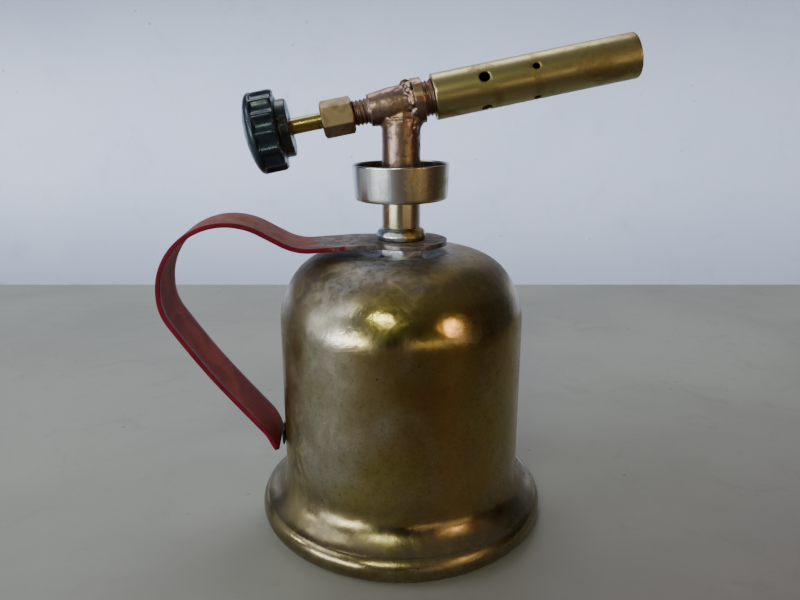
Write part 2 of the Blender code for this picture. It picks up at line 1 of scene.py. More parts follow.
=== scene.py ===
"""Looks for the spirit burner: its detailed pieces and finishes, a bench, soft light and a camera.

Sizes are in metres. Turned pieces are built about Z and placed on one of two axes: the tank's,
and the burner's, which crosses it at the tee and tilts up towards the muzzle.
"""

import math

import bmesh
import bpy
import numpy as np
from mathutils import Matrix, Vector, noise


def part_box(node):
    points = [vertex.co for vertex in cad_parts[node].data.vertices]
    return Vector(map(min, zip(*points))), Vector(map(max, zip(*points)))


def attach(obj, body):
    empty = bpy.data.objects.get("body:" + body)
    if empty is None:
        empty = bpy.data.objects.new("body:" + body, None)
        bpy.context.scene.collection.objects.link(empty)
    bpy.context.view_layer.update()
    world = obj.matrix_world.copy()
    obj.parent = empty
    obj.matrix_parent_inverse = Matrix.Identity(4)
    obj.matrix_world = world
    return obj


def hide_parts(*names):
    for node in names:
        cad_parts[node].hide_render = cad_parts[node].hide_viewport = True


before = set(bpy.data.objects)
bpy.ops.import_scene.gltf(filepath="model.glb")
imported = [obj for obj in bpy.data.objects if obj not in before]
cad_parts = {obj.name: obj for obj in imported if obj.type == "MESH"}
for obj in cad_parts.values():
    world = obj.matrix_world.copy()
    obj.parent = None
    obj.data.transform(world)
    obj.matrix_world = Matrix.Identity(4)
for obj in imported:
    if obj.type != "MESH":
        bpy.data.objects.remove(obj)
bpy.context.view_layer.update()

TAU = 2 * math.pi

# Places taken over from the CAD
TANK_LOW, TANK_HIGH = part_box("tank_shell")
TANK_X = (TANK_LOW.x + TANK_HIGH.x) / 2
TANK_TOP = TANK_HIGH.z
TEE_Z = 0.14165
TILT = math.radians(11.3)
TANK_AXIS = Matrix.Translation((TANK_X, 0.0, 0.0))
BURNER_AXIS = Matrix.Translation((TANK_X, 0.0, TEE_Z)) @ Matrix.Rotation(math.pi / 2 - TILT, 4, "Y")


# ---------------------------------------------------------------- shapes

def arc(centre, radius, start, end, count):
    """Points on a circle from the angle start to the angle end, in degrees from +X."""
    angles = [math.radians(start + (end - start) * i / count) for i in range(count + 1)]
    return [(centre[0] + radius * math.cos(a), centre[1] + radius * math.sin(a)) for a in angles]


def polar(radius, angle, height):
    """The place at that radius and angle about Z."""
    return radius * math.cos(angle), radius * math.sin(angle), height


def curve(first, corner, last, count):
    """Points on the curve from first to last that is drawn towards the corner."""
    return [
        first * (1 - t) ** 2 + corner * 2 * t * (1 - t) + last * t ** 2
        for t in (i / count for i in range(count + 1))
    ]


def softened(points, cut, count=3, closed=True):
    """The outline with each corner rounded, starting at most `cut` before it."""
    made = []
    for i, here in enumerate(points):
        if not closed and i in (0, len(points) - 1):
            made.append(tuple(here))
            continue
        corner = Vector(here)
        before = Vector(points[i - 1]) - corner
        after = Vector(points[(i + 1) % len(points)]) - corner
        first = corner + before.normalized() * min(cut, 0.45 * before.length)
        last = corner + after.normalized() * min(cut, 0.45 * after.length)
        made += [tuple(spot) for spot in curve(first, corner, last, count)]
    return made


def rows(first, last, count):
    """Points on the straight line from first to last, with both ends."""
    return [
        (first[0] + (last[0] - first[0]) * i / count, first[1] + (last[1] - first[1]) * i / count)
        for i in range(count + 1)
    ]


def bend(first, lean_first, lean_last, last, count):
    """Points on the cubic curve from first to last, drawn towards the two points between them."""
    made = []
    for i in range(count + 1):
        t = i / count
        shares = ((1 - t) ** 3, 3 * t * (1 - t) ** 2, 3 * t * t * (1 - t), t ** 3)
        ends = (first, lean_first, lean_last, last)
        made.append(tuple(sum(share * end[axis] for share, end in zip(shares, ends)) for axis in (0, 1)))
    return made


def linked(name, data):
    obj = bpy.data.objects.new(name, data)
    bpy.context.scene.collection.objects.link(obj)
    return obj


def join(bm, lines, closed=True):
    """Faces from each line of vertices to the next, and from the last to the first if closed."""
    for i in range(len(lines) if closed else len(lines) - 1):
        here, ahead = lines[i], lines[(i + 1) % len(lines)]
        for j in range(len(here)):
            k = (j + 1) % len(here)
            bm.faces.new((here[j], here[k], ahead[k], ahead[j]))


def make_object(name, bm, place, weighted=True):
    bmesh.ops.remove_doubles(bm, verts=bm.verts, dist=1e-7)
    bmesh.ops.recalc_face_normals(bm, faces=bm.faces)
    mesh = bpy.data.meshes.new(name)
    bm.to_mesh(mesh)
    bm.free()
    mesh.shade_smooth()
    obj = linked(name, mesh)
    obj.matrix_world = place
    if weighted:
        obj.modifiers.new("normals", "WEIGHTED_NORMAL").keep_sharp = True
    return obj


def lathe(name, profile, steps, place, shape=None):
    """A solid turned about Z from (radius, height) points. A profile off the axis closes on itself.
    shape takes grids of radius, height and angle, and gives back the first two, changed."""
    grid = np.array(profile, float)
    angle = np.linspace(0.0, TAU, steps, endpoint=False)[None, :] * np.ones((len(grid), 1))
    radius = grid[:, :1] * np.ones((1, steps))
    height = grid[:, 1:] * np.ones((1, steps))
    if shape:
        radius, height = shape(radius, height, angle)
    bm = bmesh.new()
    lines = [[bm.verts.new(polar(*spot)) for spot in zip(*line)] for line in zip(radius, angle, height)]
    join(bm, lines, closed=profile[0][0] > 0.0)
    return make_object(name, bm, place)


def soft_min(first, second, blend):
    """The smaller of two grids, rounded off over about `blend` where they meet."""
    least = np.minimum(first, second)
    return least - blend * np.log(
        np.exp((least - first) / blend) + np.exp((least - second) / blend)
    ) + blend * math.log(2.0) * np.exp(-np.abs(first - second) / blend)


def hexagonal(flats, low, high, turn, dome=0.96):
    """A shape for lathe: cuts its rows to a hexagon whose two ends are chamfered all round."""
    apothem = flats / 2

    def cut(radius, height, angle):
        from_flat = np.mod(angle - turn, TAU / 6) - TAU / 12
        flat = apothem / np.cos(from_flat)
        from_end = np.minimum(high - height, height - low)
        cone = apothem * dome + 1.8 * np.maximum(from_end, 0.0)
        limit = soft_min(flat, cone, 0.00008)
        return np.where(radius > apothem * 0.9, np.minimum(radius, limit), radius), height

    return cut


def threaded(start, end, pitch, depth, bore, other=None):
    """A shape for lathe: cuts a thread between the heights start and end, running out at both."""

    def cut(radius, height, angle):
        if other:
            radius, height = other(radius, height, angle)
        wave = np.abs(2 * np.mod(height / pitch - angle / TAU, 1.0) - 1)
        wave = np.clip(1.25 * wave - 0.1, 0.0, 1.0)
        runout = np.clip((height - start) / pitch, 0, 1) * np.clip((end - height) / pitch, 0, 1)
        inside = (height > start) & (height < end) & (radius > bore)
        return radius - np.where(inside, depth * wave * np.minimum(1.0, 2 * runout), 0.0), height

    return cut


def lumpy(scale, depth, seed):
    """A shape for lathe: moves the surface in and out with smooth noise."""

    def move(radius, height, angle):
        moved = radius.copy()
        for index in np.ndindex(radius.shape):
            r, z, a = radius[index], height[index], angle[index]
            spot = Vector(polar(r, a, z)) * scale
            moved[index] += depth * noise.noise(spot + Vector((seed, 0.0, 0.0)))
        return moved, height

    return move


def stored(obj, name, values):
    """Keeps one number for each vertex, for the finish to read."""
    layer = obj.data.attributes.new(name, "FLOAT", "POINT")
    layer.data.foreach_set("value", np.asarray(values, np.float32))


def points_of(obj):
    """Where the object's vertices are, one row for each."""
    co = np.zeros(len(obj.data.vertices) * 3, np.float32)
    obj.data.vertices.foreach_get("co", co)
    return co.reshape(-1, 3).astype(float)


def drill(name, profile, steps, place):
    """A turned cutter for cut_away."""
    cutter = lathe(name, profile, steps, place)
    cutter.modifiers.clear()
    return cutter


def cut_away(obj, cutters):
    """Takes the cutters out of the object's mesh and removes them."""
    for cutter in cutters:
        boolean = obj.modifiers.new("cut", "BOOLEAN")
        boolean.operation = "DIFFERENCE"
        boolean.solver = "EXACT"
        boolean.object = cutter
    applied(obj, "BOOLEAN")
    for cutter in cutters:
        bpy.data.objects.remove(cutter)


def applied(obj, *kinds):
    """Turns the modifiers of these kinds into the object's mesh, and keeps the others."""
    others = [m for m in obj.modifiers if m.type not in kinds]
    for modifier in others:
        modifier.show_viewport = False
    bpy.context.view_layer.update()
    graph = bpy.context.evaluated_depsgraph_get()
    mesh = bpy.data.meshes.new_from_object(obj.evaluated_get(graph))
    for modifier in [m for m in obj.modifiers if m.type in kinds]:
        obj.modifiers.remove(modifier)
    obj.data = mesh
    for modifier in others:
        modifier.show_viewport = True


# ---------------------------------------------------------------- finishes

class Nodes:
    """A node tree in the making. Each method adds a node and gives back its output."""

    def __init__(self, tree):
        self.tree = tree

    def add(self, kind, inputs, output=0, **settings):
        node = self.tree.nodes.new(kind)
        for key, value in settings.items():
            setattr(node, key, value)
        for key, value in inputs.items():
            if isinstance(value, bpy.types.NodeSocket):
                self.tree.links.new(value, node.inputs[key])
            else:
                node.inputs[key].default_value = value
        return node.outputs[output]

    def mix(self, amount, first, second):
        """Between two colours, each a socket or three plain numbers."""
        ends = [end if isinstance(end, bpy.types.NodeSocket) else (*end, 1.0) for end in (first, second)]
        return self.add("ShaderNodeMix", {"Factor": amount, 6: ends[0], 7: ends[1]}, 2, data_type="RGBA")


class Finish(Nodes):
    """A material in the making."""

    def __init__(self, name, **constants):
        self.material = bpy.data.materials.new(name)
        self.material.use_nodes = True
        super().__init__(self.material.node_tree)
        self.shader = self.tree.nodes["Principled BSDF"]
        for socket, value in constants.items():
            self.shader.inputs[socket.replace("_", " ")].default_value = value
        self.place = self.add("ShaderNodeTexCoord", {}, "Object")

    def stretched(self, *scale):
        return self.add("ShaderNodeMapping", {"Vector": self.place, "Scale": scale})

    def cloud(self, scale, detail=4.0, place=None, distortion=0.0, rough=0.55):
        inputs = {"Vector": place or self.place, "Scale": scale, "Detail": detail,
                  "Distortion": distortion, "Roughness": rough}
        return self.add("ShaderNodeTexNoise", inputs)

    def cells(self, scale):
        return self.add("ShaderNodeTexVoronoi", {"Vector": self.place, "Scale": scale})

    def kept(self, name):
        """The number stored on the mesh under that name."""
        return self.add("ShaderNodeAttribute", {}, 2, attribute_name=name)

    def math(self, operation, *values):
        return self.add("ShaderNodeMath", dict(enumerate(values)), operation=operation, use_clamp=True)

    def times(self, first, second):
        return self.math("MULTIPLY", first, second)

    def plus(self, first, second):
        return self.math("ADD", first, second)

    def window(self, value, low, high):
        """The value as 0 below low and 1 above high, or the other way round if low is the larger."""
        turned = low > high
        inputs = {"Value": value, "From Min": min(low, high), "From Max": max(low, high),
                  "To Min": float(turned), "To Max": float(not turned)}
        return self.add("ShaderNodeMapRange", inputs, interpolation_type="SMOOTHSTEP")

    def blend(self, amount, first, second):
        """Between two plain numbers."""
        return self.add("ShaderNodeMapRange", {"Value": amount, "To Min": first, "To Max": second})

    def coats(self, colour, *coats):
        """The colour under some coats, each an amount and a colour of its own."""
        for amount, coat in coats:
            colour = self.mix(amount, colour, coat)
        return colour

    def use(self, colour, rough=None, metal=None, bumps=()):
        links = {"Base Color": colour, "Roughness": rough, "Metallic": metal, "Normal": None}
        for height, distance in bumps:
            inputs = {"Height": height, "Distance": distance, "Strength": 1.0}
            if links["Normal"]:
                inputs["Normal"] = links["Normal"]
            links["Normal"] = self.add("ShaderNodeBump", inputs)
        for socket, output in links.items():
            if output:
                self.tree.links.new(output, self.shader.inputs[socket])
        return self.material


def brass(name, clean, tarnish, dark, gloss, dull, blotch=60.0, amount=0.5, lines=(50, 50, 5000),
          streak=0.18, grain=0.00001, dent=0.00006):
    """Brass with tarnish in blotches, dark specks, fine turning lines, a heat tint that also stands for
    painted shade, and a tinned side kept on the mesh."""
    f = Finish(name, Metallic=1.0)
    small = f.cloud(blotch * 7, 6.0, distortion=0.4)
    turning = f.cloud(1.0, 3.0, f.stretched(*lines))
    lined = f.window(turning, 0.25, 0.75)
    tarnished = f.plus(f.math("MULTIPLY_ADD", small, 0.35, -0.17), f.cloud(blotch, 5.0, distortion=0.8))
    tarnished = f.window(tarnished, 0.72 - amount * 0.5, 0.92 - amount * 0.5)
    specks = f.window(f.cloud(blotch * 3, 3.0), 0.5, 0.62)
    specks = f.times(f.window(f.cells(blotch * 14), 0.16, 0.05), specks)
    heat_and_shade_tint = f.times(f.kept("heat"), f.blend(f.window(small, 0.35, 0.60), 0.55, 1.0))
    colour = f.coats(
        clean,
        (tarnished, tarnish),
        (specks, dark),
        (f.times(lined, streak), dark),
        (heat_and_shade_tint, (0.10, 0.078, 0.054)),
        (f.kept("tinned"), (0.64, 0.66, 0.69)),
    )
    dulled = f.plus(f.times(tarnished, 0.8), f.times(lined, 0.2))
    rough = f.blend(f.plus(dulled, f.times(heat_and_shade_tint, 0.5)), gloss, dull)
    return f.use(colour, rough, bumps=((turning, grain), (f.cloud(blotch * 2.2, 3.0), dent)))


def tank_finish():
    """Old brass: grey film where it was handled, partly a painted reflection of the window, olive and brown
    tarnish, stains kept on the mesh.
    """
    f = Finish("tank_brass", Metallic=1.0)
    large = f.cloud(34.0, 4.0, distortion=1.2)
    middling = f.cloud(120.0, 5.0, distortion=0.8)
    mottled = f.cloud(420.0, 6.0, distortion=0.6, rough=0.65)
    small = f.cloud(1100.0, 6.0)
    turning = f.cloud(1.0, 2.0, f.stretched(45, 45, 4200))
    olive, brown, straw = (0.31, 0.250, 0.075), (0.31, 0.195, 0.065), (0.33, 0.27, 0.12)
    film_and_sheen, solder, bare = (0.45, 0.42, 0.33), (0.50, 0.52, 0.56), (0.66, 0.62, 0.48)
    umber, dirt, dust = (0.13, 0.095, 0.04), (0.130, 0.098, 0.052), (0.17, 0.135, 0.080)
    soot = (0.050, 0.040, 0.028)
    # The lighter, greyer film coat is partly grey film and partly a painted reflection of the window on the
    # front-left.
    film_and_sheen_mask = f.times(f.kept("film_and_sheen"), f.blend(f.window(middling, 0.30, 0.70), 0.70, 1.0))
    grimy = f.times(f.kept("grime"), f.window(f.cloud(160.0, 5.0, distortion=1.0), 0.20, 0.60))
    tinned = f.times(f.kept("tinned"), f.blend(f.window(mottled, 0.34, 0.62), 0.08, 1.0))
    bright = f.times(f.window(f.cells(520.0), 0.10, 0.03), f.window(f.cloud(75.0, 3.0), 0.54, 0.64))
    dusty = f.times(f.kept("low"), f.blend(f.window(mottled, 0.35, 0.60), 0.35, 0.80))
    pits = f.times(f.window(f.cells(230.0), 0.12, 0.03), f.window(f.cloud(60.0, 2.0), 0.56, 0.66))
    colour = f.coats(
        olive,
        (f.window(large, 0.35, 0.70), brown),
        (f.times(f.window(middling, 0.45, 0.75), 0.35), straw),
        (film_and_sheen_mask, film_and_sheen),
        (f.times(f.window(mottled, 0.48, 0.72), 0.34), umber),
        (f.times(f.window(small, 0.50, 0.72), 0.28), soot),
        (grimy, dirt),
        (tinned, solder),
        (f.times(bright, 0.6), bare),
        (dusty, dust),
        (pits, soot),
    )
    dulled = f.plus(f.times(middling, 0.4), f.times(f.kept("grime"), 0.78))
    rough = f.blend(f.plus(dulled, f.times(mottled, 0.25)), 0.06, 0.52)
    return f.use(colour, rough, bumps=((turning, 0.000006), (mottled, 0.000025), (middling, 0.00009),
                                       (large, 0.0004)))


def bronze_finish():
    """Copper-pink bronze, tinted by heat to brown and purple, with scratches along it."""
    f = Finish("bronze", Metallic=1.0)
    large = f.cloud(150.0, 4.0, distortion=0.8)
    small = f.cloud(1900.0, 5.0)
    runs = f.cloud(1.0, 4.0, f.stretched(1700, 1700, 110), distortion=0.3)
    dark = f.window(f.cloud(360.0, 5.0, distortion=0.6), 0.48, 0.70)
    colour = f.coats(
        (0.33, 0.205, 0.13),
        (f.window(large, 0.40, 0.60), (0.265, 0.175, 0.155)),
        (f.times(f.window(runs, 0.50, 0.72), 0.6), (0.17, 0.095, 0.055)),
        (f.window(small, 0.60, 0.75), (0.56, 0.41, 0.26)),
        (dark, (0.12, 0.080, 0.062)),
    )
    rough = f.blend(f.plus(f.times(large, 0.4), dark), 0.30, 0.56)
    return f.use(colour, rough, bumps=((small, 0.00003), (runs, 0.00003)))


def solder_finish(name, light, dark):
    f = Finish(name, Metallic=0.6)
    large = f.cloud(260.0, 4.0, distortion=1.0)
    small = f.cloud(1300.0, 4.0)
    colour = f.coats(
        light, (f.window(large, 0.35, 0.65), dark), (f.window(small, 0.62, 0.78), (0.10, 0.095, 0.09)),
    )
    return f.use(colour, f.blend(large, 0.30, 0.65), bumps=((small, 0.00004), (large, 0.0002)))


def collar_finish():
    """The collar is brass on one side, and tinned over on the other."""
    f = Finish("collar", Metallic=1.0)
    across = f.add("ShaderNodeSeparateXYZ", {"Vector": f.place})
    edge = f.plus(f.math("MULTIPLY_ADD", across, 110.0, 0.35), f.times(f.cloud(300.0, 3.0), 0.25))
    worn = f.cloud(420.0, 4.0, distortion=1.0)
    tin = f.mix(f.window(worn, 0.45, 0.65), (0.66, 0.68, 0.72), (0.30, 0.31, 0.33))
    bare = f.mix(f.window(worn, 0.45, 0.70), (0.62, 0.42, 0.16), (0.18, 0.11, 0.04))
    return f.use(f.mix(f.window(edge, 0.42, 0.62), tin, bare), f.blend(worn, 0.20, 0.42),
                 bumps=((worn, 0.00012), (f.cloud(1600.0, 3.0), 0.00002)))


def paint_finish():
    """Red paint: glossy and deep on the edges, rubbed dull on the faces, worn to steel at the eye."""
    f = Finish("red_paint", Specular_IOR_Level=0.20)
    large = f.cloud(70.0, 5.0, distortion=0.8)
    small = f.cloud(900.0, 5.0)
    face = f.kept("face")
    edge_red = f.mix(f.window(large, 0.35, 0.65), (0.165, 0.007, 0.020), (0.110, 0.005, 0.014))
    face_red = f.mix(f.window(large, 0.38, 0.62), (0.235, 0.036, 0.022), (0.155, 0.021, 0.013))
    steel = f.coats(
        (0.27, 0.235, 0.225),
        (f.window(f.cloud(380.0, 5.0), 0.35, 0.65), (0.125, 0.105, 0.095)),
        (f.window(small, 0.58, 0.75), (0.13, 0.07, 0.045)),
    )
    bare = f.window(f.plus(f.kept("bare"), f.times(f.cloud(330.0, 5.0), 0.6)), 0.72, 0.92)
    colour = f.coats(
        edge_red,
        (face, face_red),
        (f.times(f.kept("rubbed"), f.window(f.cloud(240.0, 5.0), 0.25, 0.60)), (0.24, 0.105, 0.085)),
        (f.times(f.window(small, 0.62, 0.76), 0.55), (0.07, 0.025, 0.02)),
        (bare, steel),
    )
    rough = f.blend(f.plus(f.times(face, 0.6), f.times(small, 0.4)), 0.22, 0.82)
    return f.use(colour, rough, f.blend(bare, 0.0, 0.9), ((small, 0.00003), (bare, -0.00005)))


def bakelite_finish():
    # The bluish base colours and specular tint are a painted reflection of the blue window.
    f = Finish("bakelite", Specular_IOR_Level=0.6, Specular_Tint=(0.70, 0.84, 1.0, 1.0))
    dust = f.cloud(380.0, 6.0, distortion=0.5)
    swirl = f.cloud(90.0, 4.0, distortion=1.5)
    brown = f.times(f.kept("inner"), f.window(dust, 0.30, 0.60))
    colour = f.coats(
        (0.002, 0.005, 0.010),
        (f.window(swirl, 0.40, 0.65), (0.004, 0.010, 0.020)),
        (f.times(f.window(dust, 0.55, 0.75), 0.18), (0.06, 0.06, 0.06)),
        (f.times(brown, 0.5), (0.028, 0.022, 0.012)),
    )
    return f.use(colour, f.blend(f.window(dust, 0.3, 0.7), 0.20, 0.40),
                 bumps=((dust, 0.00002), (f.cloud(2400.0, 3.0), 0.000008)))


def steel_finish():
    f = Finish("steel", Metallic=1.0)
    rust = f.cloud(700.0, 5.0, distortion=0.8)
    turning = f.cloud(1.0, 2.0, f.stretched(300, 300, 9000))
    colour = f.mix(f.window(rust, 0.52, 0.72), (0.52, 0.51, 0.50), (0.19, 0.12, 0.08))
    return f.use(colour, f.blend(rust, 0.22, 0.5), bumps=((turning, 0.000006), (rust, 0.00003)))


def plain_finish(name, light, dark, scale, low, high, cell=False):
    """For leather, cord and the like: two colours through a grain, with bump."""
    f = Finish(name)
    grain = f.cells(scale) if cell else f.cloud(scale, 5.0, distortion=0.4)
    colour = f.coats(dark, (f.window(grain, 0.3, 0.7), light), (f.times(f.cloud(scale / 8, 4.0), 0.4), dark))
    return f.use(colour, f.blend(grain, low, high), bumps=((grain, 0.0001),))


def soot_finish():
    """The burnt inside of the cup and of the tube."""
    f = Finish("soot", Metallic=0.6)
    burnt = f.cloud(330.0, 5.0, distortion=0.8)
    colour = f.mix(f.window(burnt, 0.40, 0.68), (0.050, 0.046, 0.042), (0.17, 0.12, 0.07))
    return f.use(colour, f.blend(burnt, 0.45, 0.8), bumps=((burnt, 0.00008),))


def wick_finish():
    f = Finish("cotton", Roughness=0.9)
    strands = f.cloud(1.0, 3.0, f.stretched(3000, 3000, 90))
    colour = f.mix(f.window(strands, 0.35, 0.65), (0.62, 0.55, 0.42), (0.80, 0.75, 0.63))
    return f.use(colour, bumps=((strands, 0.0002),))


TANK_BRASS = tank_finish()
CUP_BRASS = brass("cup_brass", (0.66, 0.59, 0.40), (0.45, 0.33, 0.12), (0.20, 0.13, 0.05), 0.20, 0.36,
                  blotch=95.0, amount=0.38, lines=(1300, 1300, 55), streak=0.42, grain=0.00003,
                  dent=0.00003)
TUBE_BRASS = brass("tube_brass", (0.42, 0.365, 0.165), (0.26, 0.200, 0.078), (0.08, 0.055, 0.020), 0.32, 0.48,
                   blotch=80.0, lines=(900, 900, 60), dent=0.00002)
NUT_BRASS = brass("nut_brass", (0.29, 0.215, 0.125), (0.21, 0.150, 0.085), (0.07, 0.045, 0.025), 0.46, 0.62,
                  blotch=160.0, lines=(500, 500, 500), grain=0.00003, dent=0.00003)
SPINDLE_BRASS = brass("spindle_brass", (0.38, 0.31, 0.11), (0.22, 0.165, 0.055), (0.06, 0.04, 0.02), 0.24,
                      0.42, blotch=200.0, lines=(300, 300, 5000), dent=0.00001)
BRONZE = bronze_finish()
# Solder lightened to paint light on the spud and its skirt, which lie in the strap's shadow.
LIT_SOLDER = solder_finish("solder", (0.84, 0.87, 0.93), (0.42, 0.44, 0.48))
DARK_SOLDER = solder_finish("dark_solder", (0.16, 0.14, 0.12), (0.06, 0.05, 0.045))
COLLAR = collar_finish()
RED_PAINT = paint_finish()
BAKELITE = bakelite_finish()
STEEL = steel_finish()
SOOT = soot_finish()
LEATHER = plain_finish("leather", (0.22, 0.12, 0.06), (0.08, 0.045, 0.025), 1400.0, 0.6, 0.85, cell=True)
GRAPHITE = plain_finish("graphite", (0.10, 0.10, 0.11), (0.03, 0.03, 0.03), 1800.0, 0.45, 0.7)
COTTON = wick_finish()


# ---------------------------------------------------------------- pieces

def covered(obj, material):
    obj.data.materials.clear()
    obj.data.materials.append(material)


def finished(obj, material, replaced=(), body="burner"):
    """Gives the piece its finish, its body and what it stands for."""
    covered(obj, material)
    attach(obj, body)
    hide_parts(*replaced)


def second_finish(obj, material, chosen):
    """Gives the faces for which chosen(middle, normal) is true another finish."""
    obj.data.materials.append(material)
    for face in obj.data.polygons:
        if chosen(face.center, face.normal):
            face.material_index = 1


# The tank: (angle in degrees, height, spread, depth) of each dent in its side
DENTS = (
    (-101, 0.0495, 0.0090, 0.00045), (-133, 0.0860, 0.0085, 0.00055), (-118, 0.0905, 0.0060, 0.00030),
    (-84, 0.0640, 0.0140, 0.00028), (-158, 0.0800, 0.0100, 0.00050), (-48, 0.0830, 0.0110, 0.00035),
    (-125, 0.0590, 0.0100, 0.00022), (-62, 0.0440, 0.0130, 0.00030), (20, 0.0700, 0.0120, 0.00040),
    (70, 0.0520, 0.0110, 0.00045), (120, 0.0780, 0.0090, 0.00035), (-92, 0.0860, 0.0060, 0.00022),
    (-72, 0.0790, 0.0022, 0.00012), (-76, 0.0800, 0.0016, 0.00010), (-136, 0.0700, 0.0015, 0.00012),
    (-121, 0.0640, 0.0013, 0.00010), (-108, 0.0330, 0.0080, 0.00025), (-90, 0.0885, 0.0016, 0.00010),
)
DENT_CORE = 0.055


def dented(radius, height, angle):
    """Moves the tank's skin in towards its middle where it has been knocked."""
    x, y = radius * np.cos(angle), radius * np.sin(angle)
    depth = np.zeros_like(radius)
    for degrees, level, spread, deep in DENTS:
        around = math.radians(degrees)
        out = tank_radius_at(level)
        gap = (x - out * math.cos(around)) ** 2 + (y - out * math.sin(around)) ** 2 + (height - level) ** 2
        depth += deep * np.exp(-gap / spread ** 2)
    for index in np.ndindex(radius.shape):
        spot = Vector((x[index], y[index], height[index] * 0.7)) * 55.0
        depth[index] += 0.00010 * (1.0 + noise.noise(spot))
    depth *= np.clip((height - 0.024) / 0.008, 0.0, 1.0)
    drop = np.maximum(height - DENT_CORE, 0.0)
    length = np.hypot(radius, drop)
    return radius - depth * radius / length, height - depth * drop / length


WALL = 0.0008
CROWN_EDGE = 0.0215
CROWN_DROP = 0.0007
CROWN_SUNK = 0.0021
SIDE_RADIUS = 0.0410
SHOULDER, SHOULDER_RADIUS, SHOULDER_TURN = (0.0190, 0.0716), 0.0220, 14.7
FLARE, FLARE_RADIUS = (0.0530, 0.0200), 0.0120
BEAD, BEAD_RADIUS = (0.0446, 0.0052), 0.0052


def crown_height(r):
    """The height of the tank's nearly flat crown, which is sunk a little round the spud."""
    out = min(max((r - 0.0085) / 0.0065, 0.0), 1.0)
    return TANK_TOP - CROWN_DROP * (r / CROWN_EDGE) ** 2 - CROWN_SUNK * (1 - out * out * (3 - 2 * out))


def crown(first, count, wall=0.0):
    """The crown's outline from the radius first to its edge, or the same a wall's thickness below."""
    return [(r, crown_height(r) - wall) for r, _ in rows((first, 0.0), (CROWN_EDGE, 0.0), count)]


SIDE = (
    crown(0.0056, 24)
    + bend((CROWN_EDGE, 0.0943), (0.0320, 0.0936), (0.0376, 0.0873), (0.04028, 0.07718), 24)[1:]
    + arc(SHOULDER, SHOULDER_RADIUS, SHOULDER_TURN, 0.0, 6)[1:]
    + rows((SIDE_RADIUS, SHOULDER[1]), (SIDE_RADIUS, FLARE[1]), 34)[1:]
    + arc(FLARE, FLARE_RADIUS, 180.0, 239.0, 18)[1:]
)


def tank_radius_at(level):
    """The tank's outer radius at a height, nearest to the top where there are two."""
    return min(SIDE, key=lambda point: abs(point[1] - level))[0]


def off(value, middle, spread):
    """How far the value is from the middle, in spreads, squared."""
    return ((value - middle) / spread) ** 2


def build_tank():
    bead = arc(BEAD, BEAD_RADIUS, 52.0, -78.0, 22)
    crease = curve(Vector(SIDE[-5]), Vector((0.04640, 0.00965)), Vector(bead[0]), 9)
    fillet = [tuple(spot) for spot in crease[1:-1]]
    foot = [(0.0454, 0.0), (0.0440, 0.0), (0.0437, 0.0003), (0.0437, 0.0009)]
    outer = [(0.0053, SIDE[0][1] - 0.0001), (0.0055, SIDE[0][1])] + SIDE[:-4] + fillet
    inner_bead = arc(BEAD, BEAD_RADIUS - WALL, 75.0, -60.0, 10)
    inner = (
        crown(0.0053, 10, WALL)
        + bend((CROWN_EDGE, 0.0935), (0.0316, 0.0928), (0.0369, 0.0867), (0.03950, 0.07698), 10)[1:]
        + arc(SHOULDER, SHOULDER_RADIUS - WALL, SHOULDER_TURN, 0.0, 3)[1:]
        + rows((SIDE_RADIUS - WALL, SHOULDER[1]), (SIDE_RADIUS - WALL, FLARE[1]), 10)[1:]
        + arc(FLARE, FLARE_RADIUS + WALL, 180.0, 236.0, 8)[1:]
    )
    profile = outer + bead + foot + inner_bead[::-1] + inner[::-1]
    shell = lathe("tank_body", profile, 240, TANK_AXIS, dented)
    at = points_of(shell)
    x, y, z = at.T
    angle = np.degrees(np.arctan2(y, x))
    out = np.hypot(x, y)
    cloudy = np.array([noise.fractal(Vector(p) * 60.0, 1.0, 2.0, 4) for p in at])
    left = np.exp(-off(angle, -145, 26.0))
    top = np.clip((z - 0.0842 + 0.0040 * left) / 0.005, 0, 1)
    # The film is partly a painted reflection of the window on the front-left, and its spot on the dent at
    # -101 degrees is a painted highlight.
    film_and_sheen = np.exp(-off(angle, -130, 18.5)) * 0.92
    film_and_sheen *= np.clip((z - 0.016) / 0.014, 0.25, 1.0)
    film_and_sheen += 0.6 * np.exp(-off(angle, -101, 7.0) - off(z, 0.0495, 0.007))
    stored(shell, "film_and_sheen", np.clip(film_and_sheen + 0.4 * cloudy, 0, 1))
    grime = top * 0.9 + 0.3 * np.exp(-off(z, 0.0110, 0.003))
    grime += 0.8 * np.exp(-off(np.abs(angle), 180, 20.0) - off(z, 0.030, 0.012))
    grime += 0.7 * np.exp(-off(angle, -152, 10.0))
    stored(shell, "low", np.clip((0.024 - z) / 0.010 + 0.5 * cloudy, 0, 1))
    stored(shell, "grime", np.clip(grime + 0.5 * cloudy, 0, 1))
    tinned = np.exp(-off(out, 0.010, 0.010)) * top
    tinned += np.exp(-off(angle, -118, 20.0) - off(out, 0.020, 0.009)) * top
    tinned += 0.9 * np.exp(-off(angle, -92, 32.0) - off(out, 0.013, 0.006)) * top
    tinned = 0.62 * (tinned + 0.4 * cloudy * top) + 0.75 * np.exp(-off(out, 0.0085, 0.0026))
    stored(shell, "tinned", np.clip(tinned, 0, 1))
    finished(shell, TANK_BRASS, ["tank_shell"])


SPUD_FLATS = 0.0135
SKIRT_BORE = 0.0062


